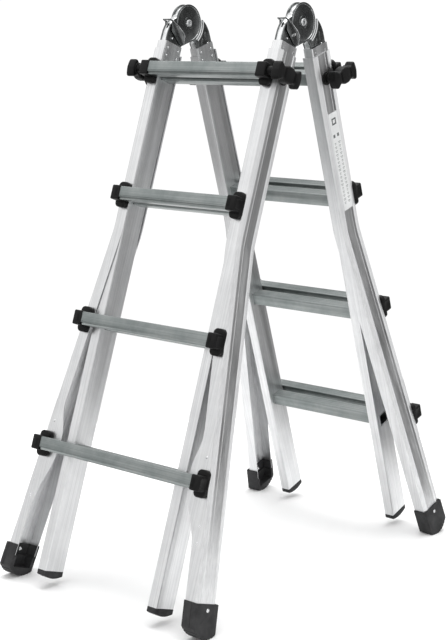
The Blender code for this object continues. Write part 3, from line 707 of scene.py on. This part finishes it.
def rung_cap_mesh(stem_passes):
    """Rounded sleeve on a shoe, with a bore for the stem, or else fine slots and a framed end."""
    half_y = OUTER_RUNG_HALF.y + CAP_FIT
    half_z = OUTER_RUNG_HALF.z + CAP_FIT
    sleeve_low = (SLEEVE_IN, -half_y - SLEEVE_WALL, -half_z - SLEEVE_WALL)
    sleeve_high = (SLEEVE_OUT, half_y + SLEEVE_WALL, half_z + SLEEVE_WALL)
    mesh = bevelled(block(sleeve_low, sleeve_high), 0.0030, 4)
    shoe_back = OUTER_FRONT + 0.0006 - OUTER_RUNG_Y
    shoe_deep = 0.0115
    half_height = (cap_high.z - cap_low.z) / 2
    outline = rounded_box(SHOE_OUT - SHOE_IN, 2 * half_height, SHOE_CORNER, 8)
    shoe_x = (SHOE_OUT + SHOE_IN) / 2
    shoe = extruded([(shoe_x + x, shoe_back, z) for x, z in outline], (0.0, shoe_deep, 0.0))
    mesh = join(mesh, bevelled(shoe, 0.0028, 4))
    low = (-0.05, -half_y, -half_z)
    mesh = cut(mesh, block(low, (SLEEVE_OUT - SLEEVE_END, half_y, half_z)))
    if stem_passes:
        return cut(mesh, bore_tool(STEM_RADIUS + 0.0006, -0.001, 0.04, 0.0, 0.0))
    for index in (-1, 0, 1):
        x = SLEEVE_IN + 0.0085 + index * 0.0024
        low = (x - 0.0004, half_y + SLEEVE_WALL - 0.0004, -half_z * 0.62)
        mesh = cut(mesh, block(low, (x + 0.0004, half_y + CLEAR, half_z * 0.62)))
    frame_low = (SLEEVE_OUT - 0.0006, -half_y + 0.0030, -half_z + 0.0040)
    frame_high = (SLEEVE_OUT + CLEAR, half_y - 0.0030, half_z - 0.0040)
    return cut(mesh, bevelled(block(frame_low, frame_high), 0.0014, 3))


# ---- boots
BOOT_WALL = 0.0029
BOOT_TOP = -boot_high.z
SOLE_RADIUS = 0.0467
SOLE_Y = 0.0310
SOLE_S = 1.2213


def boot_outline():
    """Side view of a boot as (y, s): square top, round sole cut by shallow tread grooves."""
    back = OUTER_BACK - BOOT_WALL
    front = OUTER_FRONT + BOOT_WALL
    start = math.degrees(math.asin((back - SOLE_Y) / SOLE_RADIUS))
    end = math.degrees(math.asin((front - SOLE_Y) / SOLE_RADIUS))
    treads = 9
    points = [(back, BOOT_TOP)]
    for tread in range(treads):
        for share, depth in ((0.0, 0.0), (0.30, 0.0), (0.62, 0.0), (0.70, 0.0012), (0.92, 0.0012)):
            angle = math.radians(start + (end - start) * (tread + share) / treads)
            radius = SOLE_RADIUS - (depth if tread < treads - 1 else 0.0)
            points.append((SOLE_Y + radius * math.sin(angle), SOLE_S + radius * math.cos(angle)))
    angle = math.radians(end)
    points.append((SOLE_Y + SOLE_RADIUS * math.sin(angle), SOLE_S + SOLE_RADIUS * math.cos(angle)))
    points.append((front, BOOT_TOP))
    return points


def boot_mesh():
    """Boot over the outer rail's end, open towards the ladder's middle."""
    web = WEB_X + BOOT_WALL
    edge = FLANGE_EDGE_X - 0.0010
    mesh = bevelled(plate_x(boot_outline(), edge, web), 0.0011, 3, 50.0)
    front = OUTER_FRONT + BOOT_WALL
    slot_low = (WEB_X - 0.0120, front - 0.0006, -BOOT_TOP - 0.0500)
    slot_high = (WEB_X - 0.0050, front + CLEAR, -BOOT_TOP + CLEAR)
    mesh = cut(mesh, block(slot_low, slot_high))
    scoop = [(0.0, web - 0.0008), (0.0150, web - 0.0008), (0.0190, web + 0.0006), (0.0, web + 0.0006)]
    mesh = cut(mesh, turned(scoop, SOLE_Y, SOLE_S + 0.0230, 48))
    gap = 0.0003
    pocket_low = (edge - CLEAR, OUTER_BACK - gap, -OUTER_END - gap)
    pocket_high = (WEB_X + gap, OUTER_FRONT + gap, 0.0)
    mesh = cut(mesh, block(pocket_low, pocket_high))
    hollow_low = (edge - CLEAR, OUTER_BACK + 0.0060, -OUTER_END - 0.0260)
    hollow_high = (WEB_X - 0.0080, OUTER_FRONT - 0.0060, -OUTER_END + CLEAR)
    mesh = cut(mesh, bevelled(block(hollow_low, hollow_high), 0.0020, 3))
    down = LEG["rear"].inverted().to_3x3() @ Vector((0.0, 0.0, -1.0))
    bm = bmesh.new()
    bm.from_mesh(mesh)
    everything = bm.verts[:] + bm.edges[:] + bm.faces[:]
    ground = down * PIVOT.z
    sliced = bmesh.ops.bisect_plane(bm, geom=everything, plane_co=ground, plane_no=down, clear_outer=True)
    rim = [item for item in sliced["geom_cut"] if isinstance(item, bmesh.types.BMEdge)]
    if rim:
        bmesh.ops.edgenet_fill(bm, edges=rim)
    for vertex in bm.verts:
        vertex.co.x += flare(-vertex.co.z)
    return finish_mesh("boot", bm)


def boot_liner_mesh():
    """Lip of the boot that folds over the rail's end and lines the channel."""
    gap = 0.0003
    thick = 0.0016
    outside = WEB_X - OUTER_WALL - RECESS - gap
    inside = outside - thick
    edge = FLANGE_EDGE_X + 0.0010
    low = OUTER_BACK + OUTER_WALL + gap
    high = OUTER_FRONT - OUTER_WALL - gap
    profile = [(edge, low), (outside, low), (outside, high), (edge, high)]
    profile += [(edge, high - thick), (inside, high - thick), (inside, low + thick), (edge, low + thick)]
    rings = []
    for distance in (BOOT_TOP + 0.0006, OUTER_END + 0.0002):
        rings.append([(x + flare(distance), y, -distance) for x, y in profile])
    return bevelled(skinned(rings), 0.0004, 2)


SCREW_S = BOOT_TOP + 0.0125
SCREW_Y = 0.0335


def screw_mesh():
    """Pan head screw with a slot, on the boot's outer side."""
    x = WEB_X + BOOT_WALL + flare(SCREW_S)
    head = dome(0.0042, 0.0016, x, SCREW_Y, SCREW_S, 1, 28)
    slot_low = (x + 0.0009, SCREW_Y - 0.006, -SCREW_S - 0.0005)
    slot_high = (x + CLEAR, SCREW_Y + 0.006, -SCREW_S + 0.0005)
    return cut(head, block(slot_low, slot_high))


def nut_mesh():
    """Hexagon nut of the boot screw, inside the channel."""
    x = WEB_X - OUTER_WALL - RECESS - 0.0019 + flare(SCREW_S)
    hexagon = arc((SCREW_Y, -SCREW_S), 0.0046, 0, 300, 5)
    body = extruded([(x - 0.0034, y, z) for y, z in hexagon], (0.0036, 0.0, 0.0))
    body = bevelled(body, 0.0004, 2)
    return join(body, rod(0.0024, x - 0.0056, x, SCREW_Y, SCREW_S, 0.0004, 20))


# ---- lock grips
PIN_Y = INNER_RUNG_Y
PIN_S = RUNG_S[1]
PIN_TIP = 0.1722
PIN_HOLE_RADIUS = 0.0093
GRIP_NEAR = 0.1895
GRIP_Y = 0.0590
GRIP_S = 0.1340
GRIP_HALF = 0.0400
GRIP_DEPTH = 0.0060  # how far the pin, the stem and its collar reach into the grip
BOSS_RADIUS = 0.0125
PIN_RADIUS = 0.0090
STEM_RADIUS = 0.0100


def grip_outline():
    """Bow tie with a round hub, as (y, s) round the grip's centre."""
    places = [(0.0, 0.0178), (0.0085, 0.0168), (0.0165, 0.0132), (0.0225, 0.0134), (0.0290, 0.0182)]
    places += [(0.0338, 0.0190), (0.0368, 0.0160), (0.0388, 0.0090), (GRIP_HALF, 0.0)]
    quarter = curve_through(places, 5)
    upper = [(-y, s) for y, s in reversed(quarter)] + quarter[1:]
    lower = [(y, -s) for y, s in reversed(upper[1:-1])]
    return upper + lower


def lock_grip_mesh():
    """Grip with its pin and guide stem; a round recess clears the boss on the rail."""
    outline = [(GRIP_Y + y, GRIP_S + s) for y, s in grip_outline()]
    mesh = bevelled(plate_x(outline, GRIP_NEAR, grip_high.x), 0.0040, 5, 30.0)
    for edge in (-1, 1):
        for offset in (0.0150, 0.0182):
            y = GRIP_Y + edge * offset
            groove_low = (grip_high.x - 0.0009, y - 0.0007, -GRIP_S - 0.0250)
            groove_high = (grip_high.x + CLEAR, y + 0.0007, -GRIP_S + 0.0250)
            mesh = cut(mesh, block(groove_low, groove_high))
    mesh = cut(mesh, bore_tool(BOSS_RADIUS + 0.0006, GRIP_NEAR - CLEAR, GRIP_NEAR + 0.0030, PIN_Y, PIN_S))
    inside = GRIP_NEAR + GRIP_DEPTH
    mesh = join(mesh, rod(PIN_RADIUS, PIN_TIP, inside, PIN_Y, PIN_S))
    collar = [(0.0, GRIP_NEAR - 0.0020), (0.0118, GRIP_NEAR - 0.0020), (0.0126, GRIP_NEAR - 0.0012)]
    collar += [(0.0126, inside), (0.0, inside)]
    mesh = join(mesh, turned(collar, OUTER_RUNG_Y, PIN_S))
    return join(mesh, rod(STEM_RADIUS, CAP_X[1] + 0.0050, inside, OUTER_RUNG_Y, PIN_S))


def pin_boss_mesh():
    """Bush on the rail that guides the lock pin."""
    face = WEB_X - RECESS
    bore = 0.0094
    profile = [(bore, -0.0001), (0.0150, -0.0001), (0.0150, 0.0020), (0.0142, 0.0028), (BOSS_RADIUS, 0.0030)]
    profile += [(BOSS_RADIUS, 0.0046), (BOSS_RADIUS - 0.0008, 0.0054)]
    profile += [(bore + 0.0006, 0.0054), (bore, 0.0048)]
    return turned([(radius, face + x) for radius, x in profile], PIN_Y, PIN_S, 48)


# ---- hinges
FACINGS = (1, -1)  # the two faces of a hinge
NECK_FRONT = [(0.0475, 0.0080), (0.0545, 0.0200), (0.0588, 0.0340), (TONGUE_FRONT, 0.0480)]


def pivot_arc(radius, start_degrees, end_degrees, steps):
    """Arc round the pivot as (y, s); 0 degrees points out along y and 90 degrees up the leg."""
    return [(y, -z) for y, z in arc((0.0, 0.0), radius, start_degrees, end_degrees, steps)]


def curve_through(points, steps):
    """Smooth Catmull-Rom run through a few outline places."""
    places = [points[0]] + list(points) + [points[-1]]
    made = []
    for index in range(1, len(places) - 2):
        before, start, end, after = (Vector(place) for place in places[index - 1:index + 3])
        square = 2 * before - 5 * start + 4 * end - after
        cube = 3 * start - before - 3 * end + after
        for step in range(steps):
            share = step / steps
            spot = 2 * start + (end - before) * share + square * share * share + cube * share ** 3
            made.append(tuple(spot / 2))
    made.append(tuple(points[-1]))
    return made


def half_outline(radius, end_degrees, corner):
    """Disc round the pivot that runs out into the tongue which the rail takes."""
    front = curve_through([(radius * 0.997, 0.0030)] + NECK_FRONT, 5)
    outline = pivot_arc(radius, 0, end_degrees, 56)
    outline += corner
    outline += [(TONGUE_BACK, 0.0620), (TONGUE_BACK, TONGUE_END), (TONGUE_FRONT, TONGUE_END)]
    outline += reversed(front)
    return outline


def side_plate(outline, near, far, facing):
    """A plate on one face of the hinge, between two distances from the hinge's middle."""
    return plate_x(outline, *sorted((HINGE_X + facing * near, HINGE_X + facing * far)))


def cheek_mesh(outline, rim, dish, facing):
    """A cheek whose outer face is pressed in behind a rolled rim."""
    mesh = side_plate(outline, CHEEK_IN, CHEEK_OUT, facing)
    bm = bmesh.new()
    bm.from_mesh(mesh)
    bm.faces.ensure_lookup_table()
    outer = [face for face in bm.faces if face.normal.x * facing > 0.9]
    bmesh.ops.inset_region(bm, faces=outer, thickness=rim, depth=-dish, use_even_offset=True)
    return bevelled(finish_mesh("cheek", bm), 0.0007, 3, 28.0)


def offset_inwards(points, distance):
    """Copies an open run of (y, s) points to its inner side."""
    moved = []
    for index, (y, s) in enumerate(points):
        before = Vector(points[max(index - 1, 0)])
        after = Vector(points[min(index + 1, len(points) - 1)])
        along = (after - before).normalized()
        moved.append((y - along.y * distance, s + along.x * distance))
    return moved


def bored(mesh):
    """The mesh with the pivot's hole through it."""
    return cut(mesh, bore_tool(0.0073, HINGE_X - 0.03, HINGE_X + 0.03, 0.0, 0.0))


def front_cheek_mesh(facing):
    """A cheek of the front half."""
    outline = half_outline(DISC_RADIUS, 234, [(-0.0100, 0.0428), (0.0075, 0.0560)])
    return bored(cheek_mesh(outline, 0.0036, 0.0012, facing))


def front_band_mesh():
    """Bright folded band that joins the cheeks down their front edge."""
    edge = curve_through([(0.0405, -0.0060), (0.0430, 0.0020)] + NECK_FRONT + [(TONGUE_FRONT, 0.0700)], 5)
    edge.append((TONGUE_FRONT, TONGUE_END))
    outline = offset_inwards(edge, 0.0012) + offset_inwards(edge, 0.0038)[::-1]
    band = bevelled(plate_x(outline, HINGE_X - CHEEK_IN - 0.0004, HINGE_X + CHEEK_IN + 0.0004), 0.0006, 2)
    return cut(band, block((HINGE_X - 0.0020, 0.0450, -0.0310), (HINGE_X + 0.0020, 0.0700, -0.0190)))


def rear_core_mesh():
    """Core disc that turns between the cheeks."""
    outline = pivot_arc(CORE_RADIUS, 0, 264, 56)
    outline += [(0.0040, 0.0440), (0.0120, 0.0540), (0.0450, 0.0540)]
    outline += [(0.0440, 0.0200), (CORE_RADIUS, 0.0060)]
    plate = bevelled(plate_x(outline, HINGE_X - CORE_HALF, HINGE_X + CORE_HALF), 0.0008, 2)
    return bored(plate)


def rear_cheek_mesh(facing):
    """A cheek of the rear half's folded neck."""
    outline = pivot_arc(0.0455, 352, 286, 18)
    outline += [(0.0065, 0.0490), (TONGUE_BACK, 0.0620)]
    outline += [(TONGUE_BACK, TONGUE_END), (TONGUE_FRONT, TONGUE_END)]
    outline += reversed(curve_through([(0.0450, 0.0060)] + NECK_FRONT, 5)[3:])
    return cheek_mesh(outline, 0.0018, 0.0006, facing)


def rear_band_mesh():
    """Bright folded web of the rear neck, concentric with the pivot."""
    wedge = [(0.0424, 0.0034), (0.0424, 0.0056), (0.0484, 0.0098), (0.0496, 0.0098), (0.0496, 0.0034)]
    meshes = []
    for facing in FACINGS:
        rings = []
        for y, s in pivot_arc(1.0, 350, 290, 24):
            rings.append([(HINGE_X + facing * x, y * radius, -s * radius) for radius, x in wedge])
        meshes.append(skinned(rings))
    run = [(0.0130, 0.0440), (0.0068, 0.0490), (0.0088, 0.0620), (0.0088, TONGUE_END)]
    back = [(0.0112, TONGUE_END), (0.0112, 0.0620), (0.0160, 0.0460)]
    meshes.append(plate_x(run + back, HINGE_X - CHEEK_IN + 0.0001, HINGE_X + CHEEK_IN - 0.0001))
    return bevelled(gathered(meshes), 0.0005, 2)


def rib_mesh(y, s, angle_degrees, length, facing):
    """Pressed stiffening rib: a slim capsule on a cheek."""
    radius = 0.0022
    x = HINGE_X + facing * (CHEEK_OUT - 0.0010)
    angle = math.radians(angle_degrees)
    along = Vector((math.cos(angle), math.sin(angle)))
    across = Vector((-along.y, along.x))
    outline = []
    for end, start in ((1, -90), (-1, 90)):
        for step in range(9):
            turn = math.radians(start + 180 * step / 8)
            spot = along * (end * length / 2 + radius * math.cos(turn)) + across * (radius * math.sin(turn))
            outline.append((x, y + spot.x, -s + spot.y))
    return bevelled(extruded(outline, (facing * 0.0009, 0.0, 0.0)), 0.0006, 2, 50.0)


def pivot_mesh():
    """Hollow rivet with a rolled rim on both sides."""
    head = CHEEK_OUT + 0.0016
    profile = [(PIVOT_BORE, -head + 0.0006), (PIVOT_BORE + 0.0008, -head), (0.0060, -head)]
    profile += [(0.0076, -head + 0.0006), (0.0084, -CHEEK_OUT + 0.0010), (0.0069, -CHEEK_OUT + 0.0005)]
    profile += [(radius, -x) for radius, x in reversed(profile)]
    return turned([(radius, HINGE_X + x) for radius, x in profile], 0.0, 0.0, 48)


def ring_pair_mesh(foot_in, foot_out, top_in, top_out, height, sides):
    """A raised ring round the pivot on each cheek, from its four radii and its height."""
    rings = []
    for facing in FACINGS:
        foot = HINGE_X + facing * (CHEEK_OUT - 0.0014)
        top = foot + facing * height
        profile = [(foot_in, foot), (foot_out, foot), (top_out, top), (top_in, top)]
        rings.append(turned(profile, 0.0, 0.0, sides))
    return gathered(rings)


def rivet_pair_mesh(radius, height, sunk, y, s):
    """Rivet heads at one place on both cheeks; the dished face lies below the rim by about the sunk part."""
    heads = [dome(radius, height, HINGE_X + facing * (CHEEK_OUT - sunk), y, s, facing) for facing in FACINGS]
    return gathered(heads)


LEVER_OUTLINE = [(0.0640, 0.0125), (0.0510, 0.0125), (0.0088, 0.0275), (0.0022, 0.0480), (0.0080, 0.0545)]
LEVER_OUTLINE += [(0.0180, 0.0545), (0.0500, 0.0350), (0.0555, 0.0165), (0.0640, 0.0150)]
LEVER_IN = CHEEK_OUT + 0.0003
LEVER_OUT = CHEEK_OUT + 0.0015


def lever_mesh():
    """Release lever: two dished side plates astride the hinge and a rolled thumb tab in front."""
    plates = [side_plate(LEVER_OUTLINE, LEVER_IN, LEVER_OUT, facing) for facing in FACINGS]
    plates = [bevelled(plate, 0.0004, 2) for plate in plates]
    low = (HINGE_X - LEVER_OUT, 0.0598, -0.0148)
    high = (HINGE_X + LEVER_OUT, 0.0639, -0.0126)
    tab = bevelled(block(low, high), 0.0010, 3)
    return join(join(plates[0], tab), plates[1])


def lever_rim_mesh():
    """Raised bright edge along the lever's upper and rear side."""
    places = [(0.0560, 0.0128), (0.0500, 0.0135), (0.0100, 0.0275), (0.0034, 0.0470), (0.0040, 0.0535)]
    run = curve_through(places, 4)
    outline = run + offset_inwards(run, -0.0016)[::-1]
    plates = [side_plate(outline, LEVER_OUT - 0.0002, LEVER_OUT + 0.0007, facing) for facing in FACINGS]
    return gathered([bevelled(plate, 0.0004, 2) for plate in plates])


def lever_spring_mesh():
    """Flat return spring with a curled tip, beside the lever's pin."""
    outline = [(0.0330, 0.0400), (0.0300, 0.0432), (0.0215, 0.0372)]
    outline += [(0.0200, 0.0330), (0.0232, 0.0322), (0.0262, 0.0350)]
    return bevelled(side_plate(outline, LEVER_OUT, LEVER_OUT + 0.0012, 1), 0.0004, 2)


# ---- assembly
# each row is a piece's name, its mesh, its body, its material and the CAD nodes it stands for
RAIL_PIECES = (
    ("inner_tube", inner_rail_mesh(), "inner", RAIL, "inner_rail"),
    ("outer_channel", outer_rail_mesh(), "outer", RAIL, "outer_rail"),
    ("gusset", gusset_mesh(), "outer", RAIL, ""),
    ("inner_sole", inner_foot_mesh(), "inner", RUBBER, "inner_foot"),
    ("boot_moulding", boot_mesh(), "outer", RUBBER, "boot"),
    ("boot_liner", boot_liner_mesh(), "outer", RUBBER, ""),
    ("boot_screw", screw_mesh(), "outer", BRIGHT_STEEL, ""),
    ("boot_nut", nut_mesh(), "outer", BRIGHT_STEEL, ""),
    ("pin_boss", pin_boss_mesh(), "outer", BLACK, ""),
    ("lock_handle", lock_grip_mesh(), "lock", BLACK, "lock_grip"),
)
OPEN_CAP = rung_cap_mesh(True)
CLOSED_CAP = rung_cap_mesh(False)
RUNG_FLARE = rung_flare_mesh()
INNER_STEP = rung_mesh(INNER_RUNG_HALF, (0.0030, 0.0030), (0.0012, 0.0012), INNER_OUT_X)
RAIL_RIVETS = [(0.0508, 0.0740), (0.0508, 0.0910), (0.0508, 0.1090), (0.0168, 0.0725), (0.0168, 0.0900)]
GUSSET_RIVETS = [(0.0140, -0.052), (0.0150, 0.081), (0.0130, 0.116)]


def rail_rivets_mesh():
    """Rivets through the inner rail into the hinge's tongue: domes inside, nearly flush outside."""
    heads = []
    for y, s in RAIL_RIVETS:
        heads.append(dome(0.0024, 0.0014, INNER_IN_X, y, s, -1))
        heads.append(dome(0.0024, 0.0003, INNER_OUT_X, y, s, 1))
    return gathered(heads)


def gusset_rivets_mesh():
    """Rivets through the gusset, placed from the flange's edge and from the lowest rung."""
    heads = []
    for across, down in GUSSET_RIVETS:
        s = RUNG_S[4] + down
        head = dome(0.0030, 0.0010, 0.0, 0.0, 0.0, 1)
        head.transform(Matrix.Rotation(math.pi / 2, 4, "Z"))
        head.transform(Matrix.Translation((FLANGE_EDGE_X + across + flare(s), OUTER_FRONT + 0.0003, -s)))
        heads.append(head)
    return gathered(heads)


def build_rails(half):
    """Both rails of one half, with everything that is fixed to them."""
    for side in SIDES:
        sign = side_sign(half, side)
        bodies = {"inner": half + "_inner", "outer": half + "_outer", "lock": f"{half}_lock_{side}"}

        def piece(name, mesh, body, material, stem="", location=(0.0, 0.0, 0.0), slot=""):
            nodes = [f"{half}_{stem}_{side}"] if stem else ()
            mesh = on_side(mesh, sign)
            put(f"{half}_{side}_{name}", mesh, half, bodies[body], material, nodes, location)

        for row in RAIL_PIECES:
            piece(*row)
        for number in RUNGS:
            cap = OPEN_CAP if number == 1 else CLOSED_CAP
            place = (sign * CAP_X[number], OUTER_RUNG_Y, -RUNG_S[number])
            piece(f"rung_{number}_cap", cap, "outer", BLACK, f"rung_cap_{number}", place)
            place = (0.0, INNER_RUNG_Y, -RUNG_S[number])
            piece(f"rung_{number}_flare", RUNG_FLARE, "inner", BRIGHT_STEEL, "", place, "rung_aluminium")
        piece("rail_rivets", rail_rivets_mesh(), "inner", BRIGHT_STEEL)
        piece("gusset_rivets", gusset_rivets_mesh(), "outer", BRIGHT_STEEL)


def build_rungs(half):
    """The inner and outer rungs of one half."""
    for number in RUNGS:
        rows = (("inner", INNER_STEP, INNER_RUNG_Y), ("outer", outer_rung_mesh(number), OUTER_RUNG_Y))
        for layer, mesh, y in rows:
            node = f"{half}_{layer}_rung_{number}"
            place = (0.0, y, -RUNG_S[number])
            put(f"{half}_{layer}_step_{number}", mesh, half, f"{half}_{layer}", RUNG_PAINTED_SHADE, [node], place)


def build_hinges():
    """Both hinges; the lever's pieces ride on its own body, the others on their half's inner ladder."""
    ribs = [rib_mesh(0.0445, 0.0440, 78, 0.0150, facing) for facing in FACINGS]
    ribs += [rib_mesh(0.0300, 0.0530, 60, 0.0130, facing) for facing in FACINGS]
    # the cheeks, pivot rings, lever and ribs take the hinge steel with painted shade, a dark copy of the
    # bright zinc
    pieces = (
        ("front", "near_cheek", front_cheek_mesh(1), HINGE_STEEL_PAINTED_SHADE, "front_hinge_plate"),
        ("front", "far_cheek", front_cheek_mesh(-1), HINGE_STEEL_PAINTED_SHADE, ""),
        ("front", "hinge_band", front_band_mesh(), BRIGHT_STEEL, ""),
        ("front", "hinge_rivets", rivet_pair_mesh(0.0020, 0.0028, 0.0007, 0.0424, 0.0504), BRIGHT_STEEL, ""),
        ("front", "pivot_rivet", pivot_mesh(), BRIGHT_STEEL, "hinge_pivot"),
        ("front", "disc_bead", ring_pair_mesh(0.0366, 0.0382, 0.0371, 0.0377, 0.0016, 72), BRIGHT_STEEL, ""),
        ("front", "pivot_ring", ring_pair_mesh(0.0122, 0.0140, 0.0126, 0.0136, 0.0010, 48), HINGE_STEEL_PAINTED_SHADE, ""),
        ("front", "release_lever", lever_mesh(), HINGE_STEEL_PAINTED_SHADE, "hinge_lever"),
        ("front", "lever_rim", lever_rim_mesh(), BRIGHT_STEEL, ""),
        ("front", "lever_spring", lever_spring_mesh(), BRIGHT_STEEL, ""),
        ("rear", "hinge_core", rear_core_mesh(), BRIGHT_STEEL, "rear_hinge_plate"),
        ("rear", "near_cheek", rear_cheek_mesh(1), HINGE_STEEL_PAINTED_SHADE, ""),
        ("rear", "far_cheek", rear_cheek_mesh(-1), HINGE_STEEL_PAINTED_SHADE, ""),
        ("rear", "hinge_band", rear_band_mesh(), BRIGHT_STEEL, ""),
        ("rear", "hinge_rivets", rivet_pair_mesh(0.0022, 0.0018, 0.0006, 0.0474, 0.0603), BRIGHT_STEEL, ""),
        ("rear", "hinge_ribs", gathered(ribs), HINGE_STEEL_PAINTED_SHADE, ""),
    )
    for side in SIDES:
        for half, name, mesh, material, stem in pieces:
            body = f"lever_{side}" if "lever" in name else half + "_inner"
            nodes = [f"{stem}_{side}"] if stem else ()
            put(f"{half}_{side}_{name}", on_side(mesh, side_sign(half, side)), half, body, material, nodes)


def build_label():
    """Foil label on the rear right rail, with plain blocks and dashes in place of print."""
    low_y = OUTER_BACK + SHOULDER + SHOULDER_SLOPE + 0.0008
    high_y = OUTER_FRONT - SHOULDER - SHOULDER_SLOPE - 0.0008
    top = 0.2100
    end = 0.4340
    face = WEB_X - RECESS
    foil = block((face - 0.0002, low_y, -end), (face + 0.0004, high_y, -top))
    put("label_foil_sheet", bevelled(foil, 0.0001, 1), "rear", "rear_outer", LABEL)
    marks = []
    surface = face + 0.00035
    thick = 0.00012
    middle = (low_y + high_y) / 2

    def bar(y, s, width, height):
        low = (surface, y - width / 2, -s - height / 2)
        high = (surface + thick, y + width / 2, -s + height / 2)
        marks.append(block(low, high))

    square = 0.0150
    edge = 0.0034
    for offset in (-1, 1):
        bar(middle + offset * (square - edge) / 2, top + 0.0200, edge, square)
        bar(middle, top + 0.0200 + offset * (square - edge) / 2, square, edge)
    for offset in (-1, 1):
        bar(middle + offset * 0.0070, top + 0.0520, 0.0070, 0.0070)
    for row in range(17):
        s = top + 0.0680 + row * 0.0086
        for column in (0, 1):
            width = 0.0060 + 0.0030 * ((row * 5 + column * 3) % 4) / 3
            y = middle + (column * 2 - 1) * 0.0075
            bar(y, s, width, 0.0012)
            bar(y, s + 0.0030, width * 0.7, 0.0010)
    put("label_marks", gathered(marks), "rear", "rear_outer", PRINT)


for half in HALVES:
    build_rails(half)
    build_rungs(half)
build_hinges()
build_label()


# ---- floor, light and camera
FLOOR_CENTRE = (-0.12, 0.08, 0.0)
FLOOR_RADIUS = 1.1


def build_floor():
    """Round pale floor that ends before the webs of the rails would mirror it from behind."""
    paint = new_paint("studio_floor")
    grain = paint.noise(EVEN, 3.0, 3.0)
    colour = paint.ramp(grain, [(0.3, (0.90, 0.90, 0.90)), (0.7, (0.93, 0.93, 0.93))])
    paint.shade(Base_Color=colour, Roughness=0.9)
    bm = bmesh.new()
    bmesh.ops.create_circle(bm, cap_ends=True, segments=96, radius=FLOOR_RADIUS)
    bmesh.ops.translate(bm, vec=FLOOR_CENTRE, verts=bm.verts)
    mesh = finish_mesh("studio_floor", bm)
    if mesh.polygons[0].normal.z < 0:
        mesh.flip_normals()
    floor = bpy.data.objects.new("studio_floor", mesh)
    floor.data.materials.append(paint.owner)
    bpy.context.collection.objects.link(floor)
    floor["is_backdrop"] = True


def dark_region(paint, towards, start, full, light, dark):
    """Brightness that falls smoothly from light to dark as a direction nears the one given."""
    looking = paint.node("ShaderNodeTexCoord").outputs["Generated"]
    near = paint.combine("ShaderNodeVectorMath", "DOT_PRODUCT", looking, Vector(towards).normalized())
    level = paint.node("ShaderNodeMapRange", {"interpolation_type": "SMOOTHSTEP"}, Value=near)
    paint.feed(level, From_Min=start, From_Max=full, To_Min=light, To_Max=dark)
    return level.outputs["Result"]


def build_world():
    """White surround with two soft dark regions: behind on the right, and low in front on the left."""
    world = bpy.data.worlds.new("studio_surround")
    bpy.context.scene.world = world
    paint = Painter(world)
    behind = dark_region(paint, (0.64, 0.77, -0.07), 0.89, 0.985, 1.04, 0.10)
    below = dark_region(paint, (-0.35, -0.60, -0.72), 0.48, 0.95, 1.0, 0.34)
    both = paint.combine("ShaderNodeMath", "MULTIPLY", behind, below)
    paint.feed(paint.tree.nodes["Background"], Strength=both, Color=(1.0, 1.0, 1.0, 1.0))


def add_area(name, location, target, size, power):
    """A soft lamp that faces the target, and that the camera doesn't see."""
    data = bpy.data.lights.new(name, "AREA")
    data.shape = "RECTANGLE"
    data.size, data.size_y = size
    data.energy = power
    lamp = bpy.data.objects.new(name, data)
    lamp.location = location
    lamp.rotation_euler = (Vector(target) - Vector(location)).to_track_quat("-Z", "Y").to_euler()
    lamp.visible_camera = False
    bpy.context.collection.objects.link(lamp)


def build_camera():
    """Eye a little below the hinges, in front on the right, looking down at the middle of the ladder."""
    yaw = 0.6942
    pitch = 0.1814
    roll = 0.0114
    ahead = Vector((-math.sin(yaw) * math.cos(pitch), math.cos(yaw) * math.cos(pitch), -math.sin(pitch)))
    right = Vector((math.cos(yaw), math.sin(yaw), 0.0))
    up = right.cross(ahead)
    rolled_right = math.cos(roll) * right + math.sin(roll) * up
    rolled_up = -math.sin(roll) * right + math.cos(roll) * up
    data = bpy.data.cameras.new("camera")
    data.sensor_fit = "AUTO"
    data.sensor_width = 36.0
    data.lens = 79.88
    camera = bpy.data.objects.new("camera", data)
    matrix = Matrix((rolled_right, rolled_up, -ahead)).transposed().to_4x4()
    matrix.translation = Vector((1.973, -2.4206, PIVOT.z - 0.0783))
    camera.matrix_world = matrix
    bpy.context.collection.objects.link(camera)
    bpy.context.scene.camera = camera


build_floor()
build_world()
add_area("key", (-2.9, -3.3, 4.4), (0.0, 0.0, 0.6), (2.6, 2.6), 9.0)
add_area("top", (-0.2, 0.2, 4.4), (0.0, 0.0, 0.0), (3.2, 3.2), 130.0)
build_camera()
bpy.context.scene.view_settings.view_transform = "Standard"

low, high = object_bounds()
